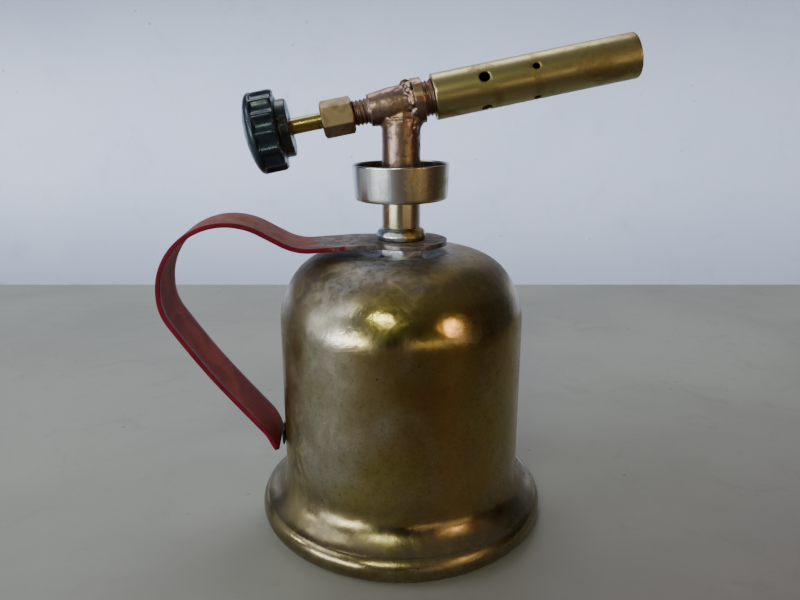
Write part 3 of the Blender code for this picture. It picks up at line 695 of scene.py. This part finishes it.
def build_spud():
    """The hexagon on the crown, and the skirt of solder that has run out round it."""
    _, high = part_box("tank_spud")
    hex_low, hex_high = crown_height(0.0) + 0.0002, 0.0965
    corner = SPUD_FLATS / math.sqrt(3)
    profile = (
        [(0.0033, hex_low), (0.0046, hex_low), (0.0060, hex_low)]
        + rows((corner, hex_low), (corner, hex_high), 12)
        + [(0.0060, hex_high), (0.0050, hex_high), (0.0046, hex_high + 0.0003), (0.0046, high.z),
           (0.0033, high.z)]
    )
    spud = lathe("tank_spud_hex", profile, 96, TANK_AXIS,
                 hexagonal(SPUD_FLATS, hex_low, hex_high, -math.pi / 2, 0.97))
    finished(spud, LIT_SOLDER, ["tank_spud"])

    bm = bmesh.new()
    steps, rings = 72, 7
    grid = []
    for j in range(steps):
        a = TAU * j / steps
        spot = Vector((math.cos(a), math.sin(a), 0.0)) * 1.7
        reach = 0.0100 + 0.0016 * noise.noise(spot) + 0.0010 * noise.noise(spot * 3)
        line = []
        for i in range(rings + 1):
            r = SKIRT_BORE + (reach - SKIRT_BORE) * i / rings
            thick = 0.0011 * (1 - i / rings) ** 1.3 - 0.0004 * (i / rings) ** 2
            line.append((r, crown_height(r) + thick))
        line += [(reach, crown_height(reach) - 0.0014), (SKIRT_BORE, crown_height(0.0) - 0.0006)]
        grid.append([bm.verts.new(polar(r, a, z)) for r, z in line])
    join(bm, grid)
    finished(make_object("spud_solder", bm, TANK_AXIS), LIT_SOLDER)


def build_stem():
    low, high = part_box("handle_collar")
    profile = softened([
        (0.0049, high.z), (0.0067, high.z), (0.0076, high.z - 0.0007), (0.0083, low.z + 0.0014),
        (0.0080, low.z + 0.0004), (0.0078, low.z), (0.0049, low.z),
    ], 0.0004)
    collar = lathe("handle_collar_bead", profile, 96, TANK_AXIS, lumpy(380.0, 0.00040, 3.0))
    finished(collar, COLLAR, ["handle_collar"])

    low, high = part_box("lower_stem")
    profile = softened([
        (0.0049, high.z), (0.00635, high.z), (0.00635, low.z), (0.0049, low.z),
    ], 0.0003)
    stem = lathe("lower_stem_tube", profile, 80, TANK_AXIS)
    finished(stem, CUP_BRASS, ["lower_stem"])


def build_cup():
    low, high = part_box("priming_cup")
    floor, height = low.z, high.z - low.z
    profile = (
        [(0.0050, 0.0007), (0.0050, 0.0)]
        + rows((0.0080, 0.0), (0.0135, 0.0), 2)
        + arc((0.0140, 0.0013), 0.0013, -90.0, 0.0, 7)
        + rows((0.01532, 0.0018), (0.01580, height - 0.0005), 8)
        + [(0.01583, height - 0.0001), (0.01572, height - 0.00003), (0.01540, height - 0.00003),
           (0.01522, height - 0.0001), (0.01515, height - 0.0006)]
        + rows((0.01512, height - 0.0012), (0.0146, 0.0020), 6)
        + arc((0.0140, 0.0013), 0.0006, 0.0, -90.0, 5)
    )
    place = Matrix.Translation((TANK_X, 0.0, floor)) @ Matrix.Rotation(math.radians(-0.8), 4, "Y")

    def bent(radius, level, angle):
        wave = 0.00009 * np.cos(2 * angle + 0.8) + 0.00006 * np.cos(3 * angle + 2.0) - 0.00015
        return radius + wave * (radius > 0.012), level

    cup = lathe("priming_cup_turned", profile, 128, place, bent)
    at = points_of(cup)
    stored(cup, "tinned", np.clip((0.10 - at[:, 0] / 0.0158) / 0.35, 0.0, 0.85) * (at[:, 1] < 0.006))
    finished(cup, CUP_BRASS, ["priming_cup"])

    def is_burnt(middle, normal):
        is_inside = normal.x * middle.x + normal.y * middle.y < -0.003
        is_floor = normal.z > 0.5 and middle.z < 0.002
        return middle.z < height - 0.0004 and (is_inside or is_floor)

    second_finish(cup, SOOT, is_burnt)
    seat = softened([
        (0.0063, 0.0012), (0.0063, 0.0031), (0.0068, 0.0018), (0.0083, 0.0009), (0.0084, 0.00075),
        (0.0063, 0.00075),
    ], 0.0002)
    bead = lathe("cup_seat_braze", seat, 64, Matrix.Translation((TANK_X, 0.0, floor)),
                 lumpy(500.0, 0.0002, 9.0))
    finished(bead, BRONZE)


# The strap: the corners of its middle line, as (x, z, radius of the bend), and its eye round the stem
STRAP_TOP = 0.0978
STRAP_CORNERS = (
    (0.0000, STRAP_TOP, 0.0000),
    (-0.0150, STRAP_TOP, 0.0300),
    (-0.0342, 0.0967, 0.0180),
    (-0.0780, 0.1210, 0.0220),
    (-0.0780, 0.0775, 0.0180),
    (-0.0645, 0.0566, 0.2400),
    (-0.0459, 0.0335, 0.0120),
    (-0.0434, 0.0276, 0.0000),
)
STRAP_HALF = 0.0105
STRAP_THICK = 0.0016
EYE_RADIUS = 0.0130
EYE_X = 0.0022
EYE_LOW = 0.0970
EYE_LOOPS = 40
EYE_TIP = 0.0012


def strap_line(step):
    """Evenly spaced places along the strap's middle line, as a row of x and a row of z."""
    path = [Vector(STRAP_CORNERS[0][:2])]
    for before, here, after in zip(STRAP_CORNERS, STRAP_CORNERS[1:], STRAP_CORNERS[2:]):
        corner = Vector(here[:2])
        back = (Vector(before[:2]) - corner).normalized()
        ahead = (Vector(after[:2]) - corner).normalized()
        half = back.angle(ahead) / 2
        centre = corner + (back + ahead).normalized() * here[2] / math.sin(half)
        start = corner + back * here[2] / math.tan(half) - centre
        turn = (math.pi - 2 * half) * math.copysign(1.0, ahead.cross(back))
        count = max(2, math.ceil(abs(turn) / math.radians(1.5)))
        path += [centre + Matrix.Rotation(turn * i / count, 2) @ start for i in range(count + 1)]
    path.append(Vector(STRAP_CORNERS[-1][:2]))
    lengths = np.concatenate([[0], np.cumsum([(b - a).length for a, b in zip(path, path[1:])])])
    at = np.linspace(0.0, lengths[-1], math.ceil(lengths[-1] / step) + 1)
    return np.interp(at, lengths, [p.x for p in path]), np.interp(at, lengths, [p.y for p in path])


def strap_section(half_width, half_thick, edge):
    """One cross-section, as (across, out) points, with rounded edges."""
    corners = [(half_width, half_thick), (half_width, -half_thick),
               (-half_width, -half_thick), (-half_width, half_thick)]
    points = []
    for i, corner in enumerate(corners):
        here, before, after = Vector(corner), Vector(corners[i - 1]), Vector(corners[(i + 1) % 4])
        first = here + (before - here).normalized() * edge
        last = here + (after - here).normalized() * edge
        points += curve(first, here, last, 4)
        points += [last + (after - here - (last - here) * 2) * k / 8 for k in range(1, 8)]
    return points


def build_strap():
    x, z = strap_line(0.0012)
    eye = EYE_X + EYE_RADIUS * np.sin(np.linspace(1.0, 0.0, 15) * math.pi / 2)
    x = np.concatenate([eye, x])
    z = np.concatenate([np.full(len(eye), STRAP_TOP), z])
    near = np.arange(len(x)) < EYE_LOOPS
    offset = np.clip(np.abs(x - EYE_X) / EYE_RADIUS, 0.0, 1.0)
    circle = EYE_RADIUS * np.sqrt(1.0 - offset ** 2)
    half = np.full(len(x), STRAP_HALF)
    half = np.where(near & (x > EYE_X), np.maximum(circle, EYE_TIP), half)
    half = np.where(near & (x <= EYE_X) & (z > EYE_LOW), np.maximum(circle, STRAP_HALF), half)
    half[-1] -= 0.0010
    half[-2] -= 0.0004
    bm = bmesh.new()
    loops, starts, faces = [], [], []
    travel = np.concatenate([[0], np.cumsum(np.hypot(np.diff(x), np.diff(z)))])
    for i in range(len(x)):
        before, after = max(i - 1, 0), min(i + 1, len(x) - 1)
        along = Vector((x[after] - x[before], z[after] - z[before])).normalized()
        out = Vector((along.y, -along.x))
        waver = 0.00008 * noise.noise(Vector((travel[i] * 90, 1.0, 0.0)))
        loop = []
        for across, lift in strap_section(half[i], STRAP_THICK / 2, 0.00034):
            spot = Vector((x[i], z[i])) + out * (lift + waver)
            loop.append(bm.verts.new((spot.x, across, spot.y)))
            starts.append(travel[i])
            faces.append(np.clip((half[i] - abs(across) - 0.0003) / 0.0009, 0, 1))
        loops.append(loop)
    join(bm, loops, closed=False)
    bm.faces.new(loops[0])
    bm.faces.new(loops[-1][::-1])
    strap = make_object("strap_handle", bm, TANK_AXIS)
    start, face = np.array(starts), np.array(faces)
    if len(start) != len(strap.data.vertices):
        raise ValueError("the strap lost vertices, so its stored numbers don't fit")
    stored(strap, "face", face)
    worn = np.clip(1.25 - (start - 0.024) / 0.026, 0.0, 1.2)
    stored(strap, "bare", worn * np.clip(1.0 - 0.35 * (1 - face), 0, 1))
    stored(strap, "rubbed", np.exp(-off(start, 0.066, 0.030)) * face)
    hole = [(0.0, 0.11), (0.0052, 0.11), (0.0052, 0.09), (0.0, 0.09)]
    cut_away(strap, [drill("strap_drill", hole, 48, TANK_AXIS)])
    finished(strap, RED_PAINT, ["handle_strap"])

    low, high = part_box("handle_foot_solder")
    middle = (low + high) / 2
    bm = bmesh.new()
    bmesh.ops.create_icosphere(bm, subdivisions=4, radius=1.0)
    for vert in bm.verts:
        bump = 1.0 + 0.18 * noise.noise(vert.co * 2.2)
        vert.co = Vector((vert.co.x * 0.00065, vert.co.y * 0.0052 * bump, vert.co.z * 0.0036 * bump))
    finished(make_object("handle_foot_bead", bm, Matrix.Translation(middle)), DARK_SOLDER,
             ["handle_foot_solder"])


def closed_rod(bm, radius, low, high, place, steps=64, top=None):
    """Adds a rod, or a cone if the radius at its top is given."""
    bmesh.ops.create_cone(
        bm, cap_ends=True, segments=steps, radius1=radius, radius2=radius if top is None else top,
        depth=high - low, matrix=place @ Matrix.Translation((0.0, 0.0, (low + high) / 2)),
    )


def build_tee():
    """The cast tee: overlapping solids melted together by a remesh, then given a cast skin."""
    to_tank = TANK_AXIS.inverted() @ BURNER_AXIS
    low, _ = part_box("vaporizer_body")
    leg, barrel, upright = 0.00622, 0.0058, Matrix.Identity(4)
    bm = bmesh.new()
    closed_rod(bm, leg, low.z, 0.1362, upright)
    closed_rod(bm, leg, 0.1361, 0.1425, upright, top=0.0046)
    closed_rod(bm, 0.00495, -0.0104, -0.0035, to_tank, top=barrel)
    closed_rod(bm, barrel, -0.0036, 0.0030, to_tank)
    for level, reach in ((0.1330, 0.00640), (0.1340, 0.00685), (0.1350, 0.00755), (0.1360, 0.00840)):
        closed_rod(bm, reach - 0.0008, level, level + 0.0014, Matrix.Scale(0.0061 / reach, 4, (0, 1, 0)), 48,
                   top=reach)
    closed_rod(bm, 0.0057, 0.0014, 0.0046, to_tank)
    noise.seed_set(4)
    for index in range(34):
        around = index * 2.4
        jitter = noise.noise_vector(Vector((index * 1.7, 0.3, 5.0)))
        size = 0.00128 + 0.0008 * jitter.y
        out = 0.00545 + 0.0003 * jitter.x
        spot = to_tank @ Vector(polar(out, around, 0.0038 + 0.0024 * jitter.z))
        bmesh.ops.create_icosphere(bm, subdivisions=3, radius=size, matrix=Matrix.Translation(spot))
    crest = to_tank @ Vector((-0.0056, -0.0008, 0.0022))
    bmesh.ops.create_icosphere(bm, subdivisions=3, radius=0.0017, matrix=Matrix.Translation(crest))
    tee = make_object("tee_casting", bm, TANK_AXIS, weighted=False)
    remesh = tee.modifiers.new("melt", "REMESH")
    remesh.mode = "VOXEL"
    remesh.voxel_size = 0.00024
    smooth = tee.modifiers.new("smooth", "SMOOTH")
    smooth.factor = 0.5
    smooth.iterations = 12
    applied(tee, "REMESH", "SMOOTH")
    moved = []
    tee.data.update()
    from_tee = to_tank.inverted()
    for vert in tee.data.vertices:
        local = from_tee @ vert.co
        brazed = math.exp(-off(local.z, 0.0030, 0.0022)) * (vert.co.z > 0.131)
        grain = noise.noise(vert.co * 900.0) * 0.00004 + noise.noise(vert.co * 330.0) * 0.00005
        lump = noise.noise(vert.co * 800.0 + Vector((7, 7, 7))) * 0.00030 * brazed
        moved.append(vert.co + vert.normal * (grain + lump))
    for vert, spot in zip(tee.data.vertices, moved):
        vert.co = spot
    cut_away(tee, [
        drill("leg_drill", [(0.0, TEE_Z), (0.0042, TEE_Z), (0.0042, 0.10), (0.0, 0.10)], 40, TANK_AXIS),
        drill("bore_drill", [
            (0.0, 0.010), (0.0036, 0.010), (0.0036, -0.0060), (0.0026, -0.0060), (0.0026, -0.014),
            (0.0, -0.014),
        ], 40, BURNER_AXIS),
    ])
    tee.data.shade_smooth()
    finished(tee, BRONZE, ["vaporizer_body"])

    profile = (
        [(0.0026, -0.0101), (0.0041, -0.0101)]
        + rows((0.0041, -0.0103), (0.0041, -0.0165), 80)
        + [(0.0039, -0.0168), (0.0039, -0.0195), (0.0037, -0.0195), (0.0037, -0.0171), (0.0026, -0.0170)]
    )
    neck = lathe("neck_thread", profile, 72, BURNER_AXIS, threaded(-0.0168, -0.0104, 0.00125, 0.00055, 0.003))
    finished(neck, BRONZE, ["vaporizer_body"])


def build_jet():
    profile = (
        [(0.0024, 0.0172), (0.0050, 0.0172), (0.0056, 0.0169)]
        + rows((0.0056, 0.0167), (0.0056, 0.0071), 100)
        + softened([(0.0056, 0.0070), (0.00695, 0.0070), (0.00695, 0.0040), (0.0033, 0.0040)], 0.0003,
                   closed=False)
        + [(0.0033, -0.0012), (0.0016, -0.0012), (0.0016, 0.0012), (0.0010, 0.0052), (0.0010, 0.0119),
           (0.0024, 0.0119)]
    )
    uneven = lumpy(520.0, 0.00045, 5.0)

    def brazed(radius, height, angle):
        is_flange = (height < 0.0071) & (radius > 0.005)
        return np.where(is_flange, uneven(radius, height, angle)[0], radius), height

    thread = threaded(0.0070, 0.0170, 0.00122, 0.00055, 0.0052, brazed)
    holder = lathe("jet_holder_threaded", profile, 96, BURNER_AXIS, thread)
    finished(holder, BRONZE, ["jet_holder"])


def build_tube():
    front, back, outer, bore = 0.0757, 0.0103, 0.00715, 0.0063
    dimple_turn, dimple_along, dimple_spread, dimple_depth = math.radians(128), 0.0665, 0.0011, 0.00030
    profile = (
        [(bore, 0.0169), (0.0059, 0.0166), (0.0059, 0.0106), (0.0062, 0.0103)]
        + [(outer - 0.0004, back), (outer - 0.0001, back + 0.0001), (outer, back + 0.0004)]
        + rows((outer, back + 0.001), (outer, front - 0.001), 44)
        + [(outer, front - 0.0003), (outer - 0.00012, front - 0.00006), (outer - 0.0003, front),
           (bore + 0.0002, front), (bore + 0.00003, front - 0.0002)]
        + rows((bore, front - 0.001), (bore, 0.0180), 10)
    )

    def knocked(radius, height, angle):
        aside = outer * (np.mod(angle - dimple_turn + math.pi, TAU) - math.pi)
        gap = (height - dimple_along) ** 2 + aside ** 2
        dent = dimple_depth * np.exp(-gap / dimple_spread ** 2)
        return radius - np.where(radius > 0.0068, dent, 0.0), height

    tube = lathe("mixing_tube", profile, 112, BURNER_AXIS, knocked)
    tube.modifiers.clear()
    cutters = []
    for along, size in ((0.0262, 0.0017), (0.0425, 0.0011)):
        for quarter in range(4):
            bevelled = [
                (0.0, 0.009), (size + 0.00025, 0.009), (size + 0.0002, outer),
                (size + 0.00002, outer - 0.00016), (size, outer - 0.0005), (size, 0.0045), (0.0, 0.0045),
            ]
            turn = Matrix.Rotation(math.radians(64) + quarter * math.pi / 2, 4, "Z")
            tip = Matrix.Translation((0.0, 0.0, along)) @ turn @ Matrix.Rotation(math.pi / 2, 4, "Y")
            cutters.append(drill("air_drill", bevelled, 36, BURNER_AXIS @ tip))
    cut_away(tube, cutters)
    tube.modifiers.new("normals", "WEIGHTED_NORMAL")
    # Heat tint and painted shade: the tube darkens towards the muzzle, fading the highlight along its top.
    stored(tube, "heat", np.clip((points_of(tube)[:, 2] - 0.018) / 0.036, 0.0, 0.95))
    finished(tube, TUBE_BRASS, ["burner_tube"])
    second_finish(tube, SOOT, lambda c, n: math.hypot(c.x, c.y) < 0.00692 and 0.017 < c.z < front - 0.0004)


def build_nut():
    back, front, flats = -0.0255, -0.0154, 0.0102
    corner = flats / math.sqrt(3)
    profile = (
        [(0.0028, back), (0.0044, back)]
        + rows((corner, back), (corner, back + 0.0012), 10)
        + rows((corner, back + 0.0014), (corner, front - 0.0014), 12)
        + rows((corner, front - 0.0012), (corner, front), 10)
        + [(0.0048, front), (0.0044, front), (0.0044, back + 0.0026), (0.0028, back + 0.0026)]
    )
    nut = lathe("packing_nut_hex", profile, 144, BURNER_AXIS,
                hexagonal(flats, back, front, math.radians(-7), 0.94))
    finished(nut, NUT_BRASS, ["packing_nut"])


def build_valve():
    profile = softened([
        (0.0, -0.0432), (0.0025, -0.0432), (0.0025, -0.0280), (0.0025, -0.0160), (0.0025, -0.0064),
        (0.0013, -0.0064), (0.0013, -0.0104), (0.0, -0.0104),
    ], 0.00015, closed=False)
    spindle = lathe("spindle_rod", profile, 56, BURNER_AXIS)
    tapping = [(0.0, -0.0392), (0.0018, -0.0392), (0.0018, -0.048), (0.0, -0.048)]
    cut_away(spindle, [drill("tapping_drill", tapping, 32, BURNER_AXIS)])
    finished(spindle, SPINDLE_BRASS, ["valve_spindle"], "valve")

    radius, face, back, boss, end = 0.0127, -0.0472, -0.0389, 0.0090, -0.0354
    flutes, flute_half, flute_depth, lip = 14, 0.0023, 0.00105, 0.0015
    notches, notch_half, notch_depth = 6, 0.0011, 0.0005
    dome_top = face - 0.0026
    dome = [
        (0.0034, dome_top + 0.00030), (0.0045, dome_top + 0.00030), (0.0060, dome_top + 0.00052),
        (0.0078, dome_top + 0.00092), (0.0095, dome_top + 0.00140), (0.0108, dome_top + 0.00188),
        (0.0117, dome_top + 0.00235), (0.0123, dome_top + 0.00285), (0.01262, dome_top + 0.0034),
        (radius, dome_top + 0.0039),
    ]
    side = [
        (radius, face + lip), (radius, face + lip + 0.0002), (radius, face + lip + 0.0005),
        (radius, face + lip + 0.0010), (radius, back - 0.0020), (radius, back - 0.0009),
        (radius - 0.0001, back - 0.0004), (radius - 0.0005, back),
    ]
    rear = [
        (0.0105, back + 0.0001), (boss + 0.0005, back + 0.0002), (boss + 0.0001, back + 0.0005),
        (boss, back + 0.0010), (boss, end - 0.0006), (boss - 0.0002, end - 0.0002), (boss - 0.0006, end),
        (0.0045, end), (0.0042, end), (0.0030, end - 0.0002), (0.0028, end - 0.0006),
        (0.0028, -0.0434), (0.0018, -0.0435), (0.0018, face), (0.0034, face),
    ]
    profile = dome + side + rear

    def fluted(out, along, angle):
        step = TAU / flutes
        aside = np.abs(np.mod(angle + step / 2, step) - step / 2) * radius
        scoop = np.clip(1.0 - (aside / flute_half) ** 2, 0.0, 1.0) ** 0.8 * flute_depth
        on = np.clip((along - face - lip) / 0.0006, 0.0, 1.0) * (out > 0.0105) * (along < back + 0.00005)
        step = TAU / notches
        aside = np.abs(np.mod(angle + 0.3, step) - step / 2) * boss
        notch = np.clip(1.0 - (aside / notch_half) ** 2, 0.0, 1.0)
        boss_side = (along > back + 0.0006) & (out > 0.0080)
        return out - scoop * on - notch_depth * notch * boss_side, along

    knob = lathe("knob_fluted", profile, 14 * flutes, BURNER_AXIS, fluted)
    stored(knob, "inner", np.clip((points_of(knob)[:, 2] - back + 0.0015) / 0.002, 0, 1))
    finished(knob, BAKELITE, ["control_knob"], "valve")

    head_low, head_top, shank = face - 0.0002, face - 0.0016, 0.0015
    profile = [
        (0.0, -0.0395), (shank, -0.0395), (shank, head_low), (0.0029, head_low), (0.0031, head_low - 0.0003),
        (0.0029, head_top + 0.0005), (0.0022, head_top + 0.0001), (0.0012, head_top), (0.0, head_top),
    ]
    screw = lathe("knob_screw_head", profile, 48, BURNER_AXIS)
    bm = bmesh.new()
    bmesh.ops.create_cube(bm, size=1.0, matrix=Matrix.Diagonal((0.012, 0.0008, 0.0014, 1.0)))
    across = BURNER_AXIS @ Matrix.Translation((0, 0, head_top)) @ Matrix.Rotation(0.5, 4, "Z")
    slot = make_object("slot_cut", bm, across, weighted=False)
    cut_away(screw, [slot])
    finished(screw, STEEL, ["knob_screw"], "valve")


def finish_cad_nodes():
    """The nodes that keep their CAD shape: the tank's floor, its filler and what lies inside."""
    kept = {
        "tank_bottom": TANK_BRASS, "base_solder_ring": DARK_SOLDER, "filler_bush": NUT_BRASS,
        "filler_gasket": LEATHER, "filler_plug": NUT_BRASS, "wick_tube": TUBE_BRASS, "wick": COTTON,
        "gas_jet": NUT_BRASS, "gland_follower": NUT_BRASS, "valve_packing": GRAPHITE,
        "valve_needle": STEEL,
    }
    for name, material in kept.items():
        covered(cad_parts[name], material)


for build in (build_tank, build_spud, build_stem, build_cup, build_strap, build_tee, build_jet, build_tube,
              build_nut, build_valve, finish_cad_nodes):
    build()


# ---------------------------------------------------------------- bench, light and camera

def stage_finish(name, light, dark, scale, low, high, depth, painted_shade=None):
    """A pale board, which can fall off to a painted shade colour towards the front, away from the window."""
    f = Finish(name)
    wide = f.cloud(scale, 5.0, distortion=0.6)
    fine = f.cloud(scale * 30, 4.0)
    stains = f.window(f.cloud(scale * 5, 6.0, distortion=1.2, rough=0.7), 0.52, 0.72)
    marks = f.times(f.window(f.cells(scale * 8), 0.07, 0.03), f.window(f.cloud(scale * 3, 2.0), 0.46, 0.56))
    colour = f.coats(
        light,
        (f.window(wide, 0.3, 0.7), dark),
        (f.times(stains, 0.30), [0.72 * part for part in dark]),
        (f.times(marks, 0.6), [0.4 * part for part in dark]),
    )
    if painted_shade:
        # Painted shade: darker towards the camera and more so to its right, where the tank's shadow and the
        # dim front of the room fall.
        turned = f.add("ShaderNodeMapping", {"Vector": f.place, "Rotation": (0.0, 0.0, math.radians(-25.0))})
        along = f.add("ShaderNodeSeparateXYZ", {"Vector": turned}, 1)
        colour = f.mix(f.window(along, 0.70, 0.40), colour, painted_shade)
    return f.use(colour, f.blend(fine, low, high), bumps=((fine, depth),))


def slab(name, width, depth, thick, place, material):
    """A wide board with softened edges."""
    bm = bmesh.new()
    bmesh.ops.create_cube(bm, size=1.0, matrix=Matrix.Diagonal((width, depth, thick, 1.0)))
    bmesh.ops.bevel(bm, geom=bm.edges[:], offset=0.003, segments=3, affect="EDGES")
    obj = make_object(name, bm, place)
    obj.data.materials.append(material)


YAW = math.radians(-4.5)
HEADING = Matrix.Rotation(YAW, 4, "Z")
camera_data = bpy.data.cameras.new("camera")
camera_data.lens = 31.05
camera_data.sensor_width = 36.0
camera_data.shift_x = -0.0015
camera = linked("camera", camera_data)
camera.location = (-0.01593, -0.22530, 0.1430)
camera.rotation_euler = (math.radians(90.0 - 16.2), 0.0, YAW)
bpy.context.scene.camera = camera

# The bench falls off to a painted shade towards the front.
BENCH = stage_finish("bench", (0.355, 0.36, 0.335), (0.305, 0.31, 0.285), 9.0, 0.55, 0.75, 0.00005,
                     painted_shade=(0.092, 0.058, 0.058))
PLASTER = stage_finish("plaster", (0.47, 0.52, 0.70), (0.44, 0.49, 0.67), 3.0, 0.8, 0.95, 0.0001)
BENCH_END, BENCH_DEPTH, BENCH_THICK, WALL_AT = 0.314, 2.0, 0.02, 1.2
bench_middle = (0.0, BENCH_END - BENCH_DEPTH / 2, -BENCH_THICK / 2)
slab("bench_top", 4.0, BENCH_DEPTH, BENCH_THICK, HEADING @ Matrix.Translation(bench_middle), BENCH)
slab("backdrop", 8.0, 0.02, 5.0, HEADING @ Matrix.Translation((0.0, WALL_AT, 1.0)), PLASTER)


def toward(azimuth, elevation, distance):
    """A place seen from the tank at that azimuth from the camera's side and that elevation."""
    a, e = math.radians(azimuth), math.radians(elevation)
    flat = Vector((math.sin(a) * math.cos(e), -math.cos(a) * math.cos(e), math.sin(e)))
    return HEADING @ (flat * distance) + Vector((TANK_X, 0.0, 0.09))


def area_light(name, azimuth, elevation, distance, width, height, power, colour, at=None):
    """A panel of light there, turned to face the tank or the place `at`."""
    data = bpy.data.lights.new(name, "AREA")
    data.shape = "RECTANGLE"
    data.size = width
    data.size_y = height
    data.energy = power
    data.color = colour
    light = linked(name, data)
    light.location = toward(azimuth, elevation, distance)
    way = (at or Vector((TANK_X, 0.0, 0.07))) - light.location
    light.rotation_euler = way.to_track_quat("-Z", "Y").to_euler()


area_light("window_wide", -74, 36, 1.40, 0.80, 0.44, 5.0, (0.82, 0.91, 1.0))
area_light("window_near", -49, -1, 1.10, 0.70, 0.32, 9.5, (0.86, 0.93, 1.0))
area_light("window_far", -84, 12, 1.10, 0.07, 0.10, 1.0, (0.90, 0.96, 1.0))
area_light("ceiling", -17, 30, 1.30, 0.34, 0.08, 4.6, (0.90, 1.0, 0.66))
area_light("lamp", 47, 15, 1.20, 0.15, 0.07, 1.8, (1.0, 0.68, 0.38))
area_light("room_glow", 34, -5, 1.20, 1.20, 0.30, 1.9, (1.0, 0.82, 0.52))
area_light("overhead", -170, 62, 1.50, 1.0, 0.8, 9.5, (0.96, 0.97, 1.0))
area_light("wall_wash", -178, -1, 0.85, 2.8, 0.3, 10.5, (0.92, 0.95, 1.0), Vector((0.1, 1.2, 0.0)))

world = bpy.data.worlds.new("room")
world.use_nodes = True
bpy.context.scene.world = world
sky = Nodes(world.node_tree)
aim = sky.add("ShaderNodeTexCoord", {}, "Generated")
aim = sky.add("ShaderNodeMapping", {"Vector": aim, "Rotation": (0.0, 0.0, math.radians(-35.0))})


def sky_ramp(axis, low, high):
    """From 0 where the view's part along that axis is low, to 1 where it is high."""
    part = sky.add("ShaderNodeSeparateXYZ", {0: aim}, axis)
    return sky.add("ShaderNodeMapRange", {"Value": part, "From Min": low, "From Max": high})


# Dim towards the camera and to its right, paler to the left, behind and overhead
front = sky.mix(sky_ramp(2, 0.30, 0.75), (0.050, 0.043, 0.038), (0.30, 0.29, 0.25))
whole = sky.mix(sky_ramp(1, -0.6, 0.75), front, (0.62, 0.66, 0.76))
background = sky.tree.nodes["Background"]
background.inputs["Strength"].default_value = 0.55
sky.tree.links.new(whole, background.inputs["Color"])
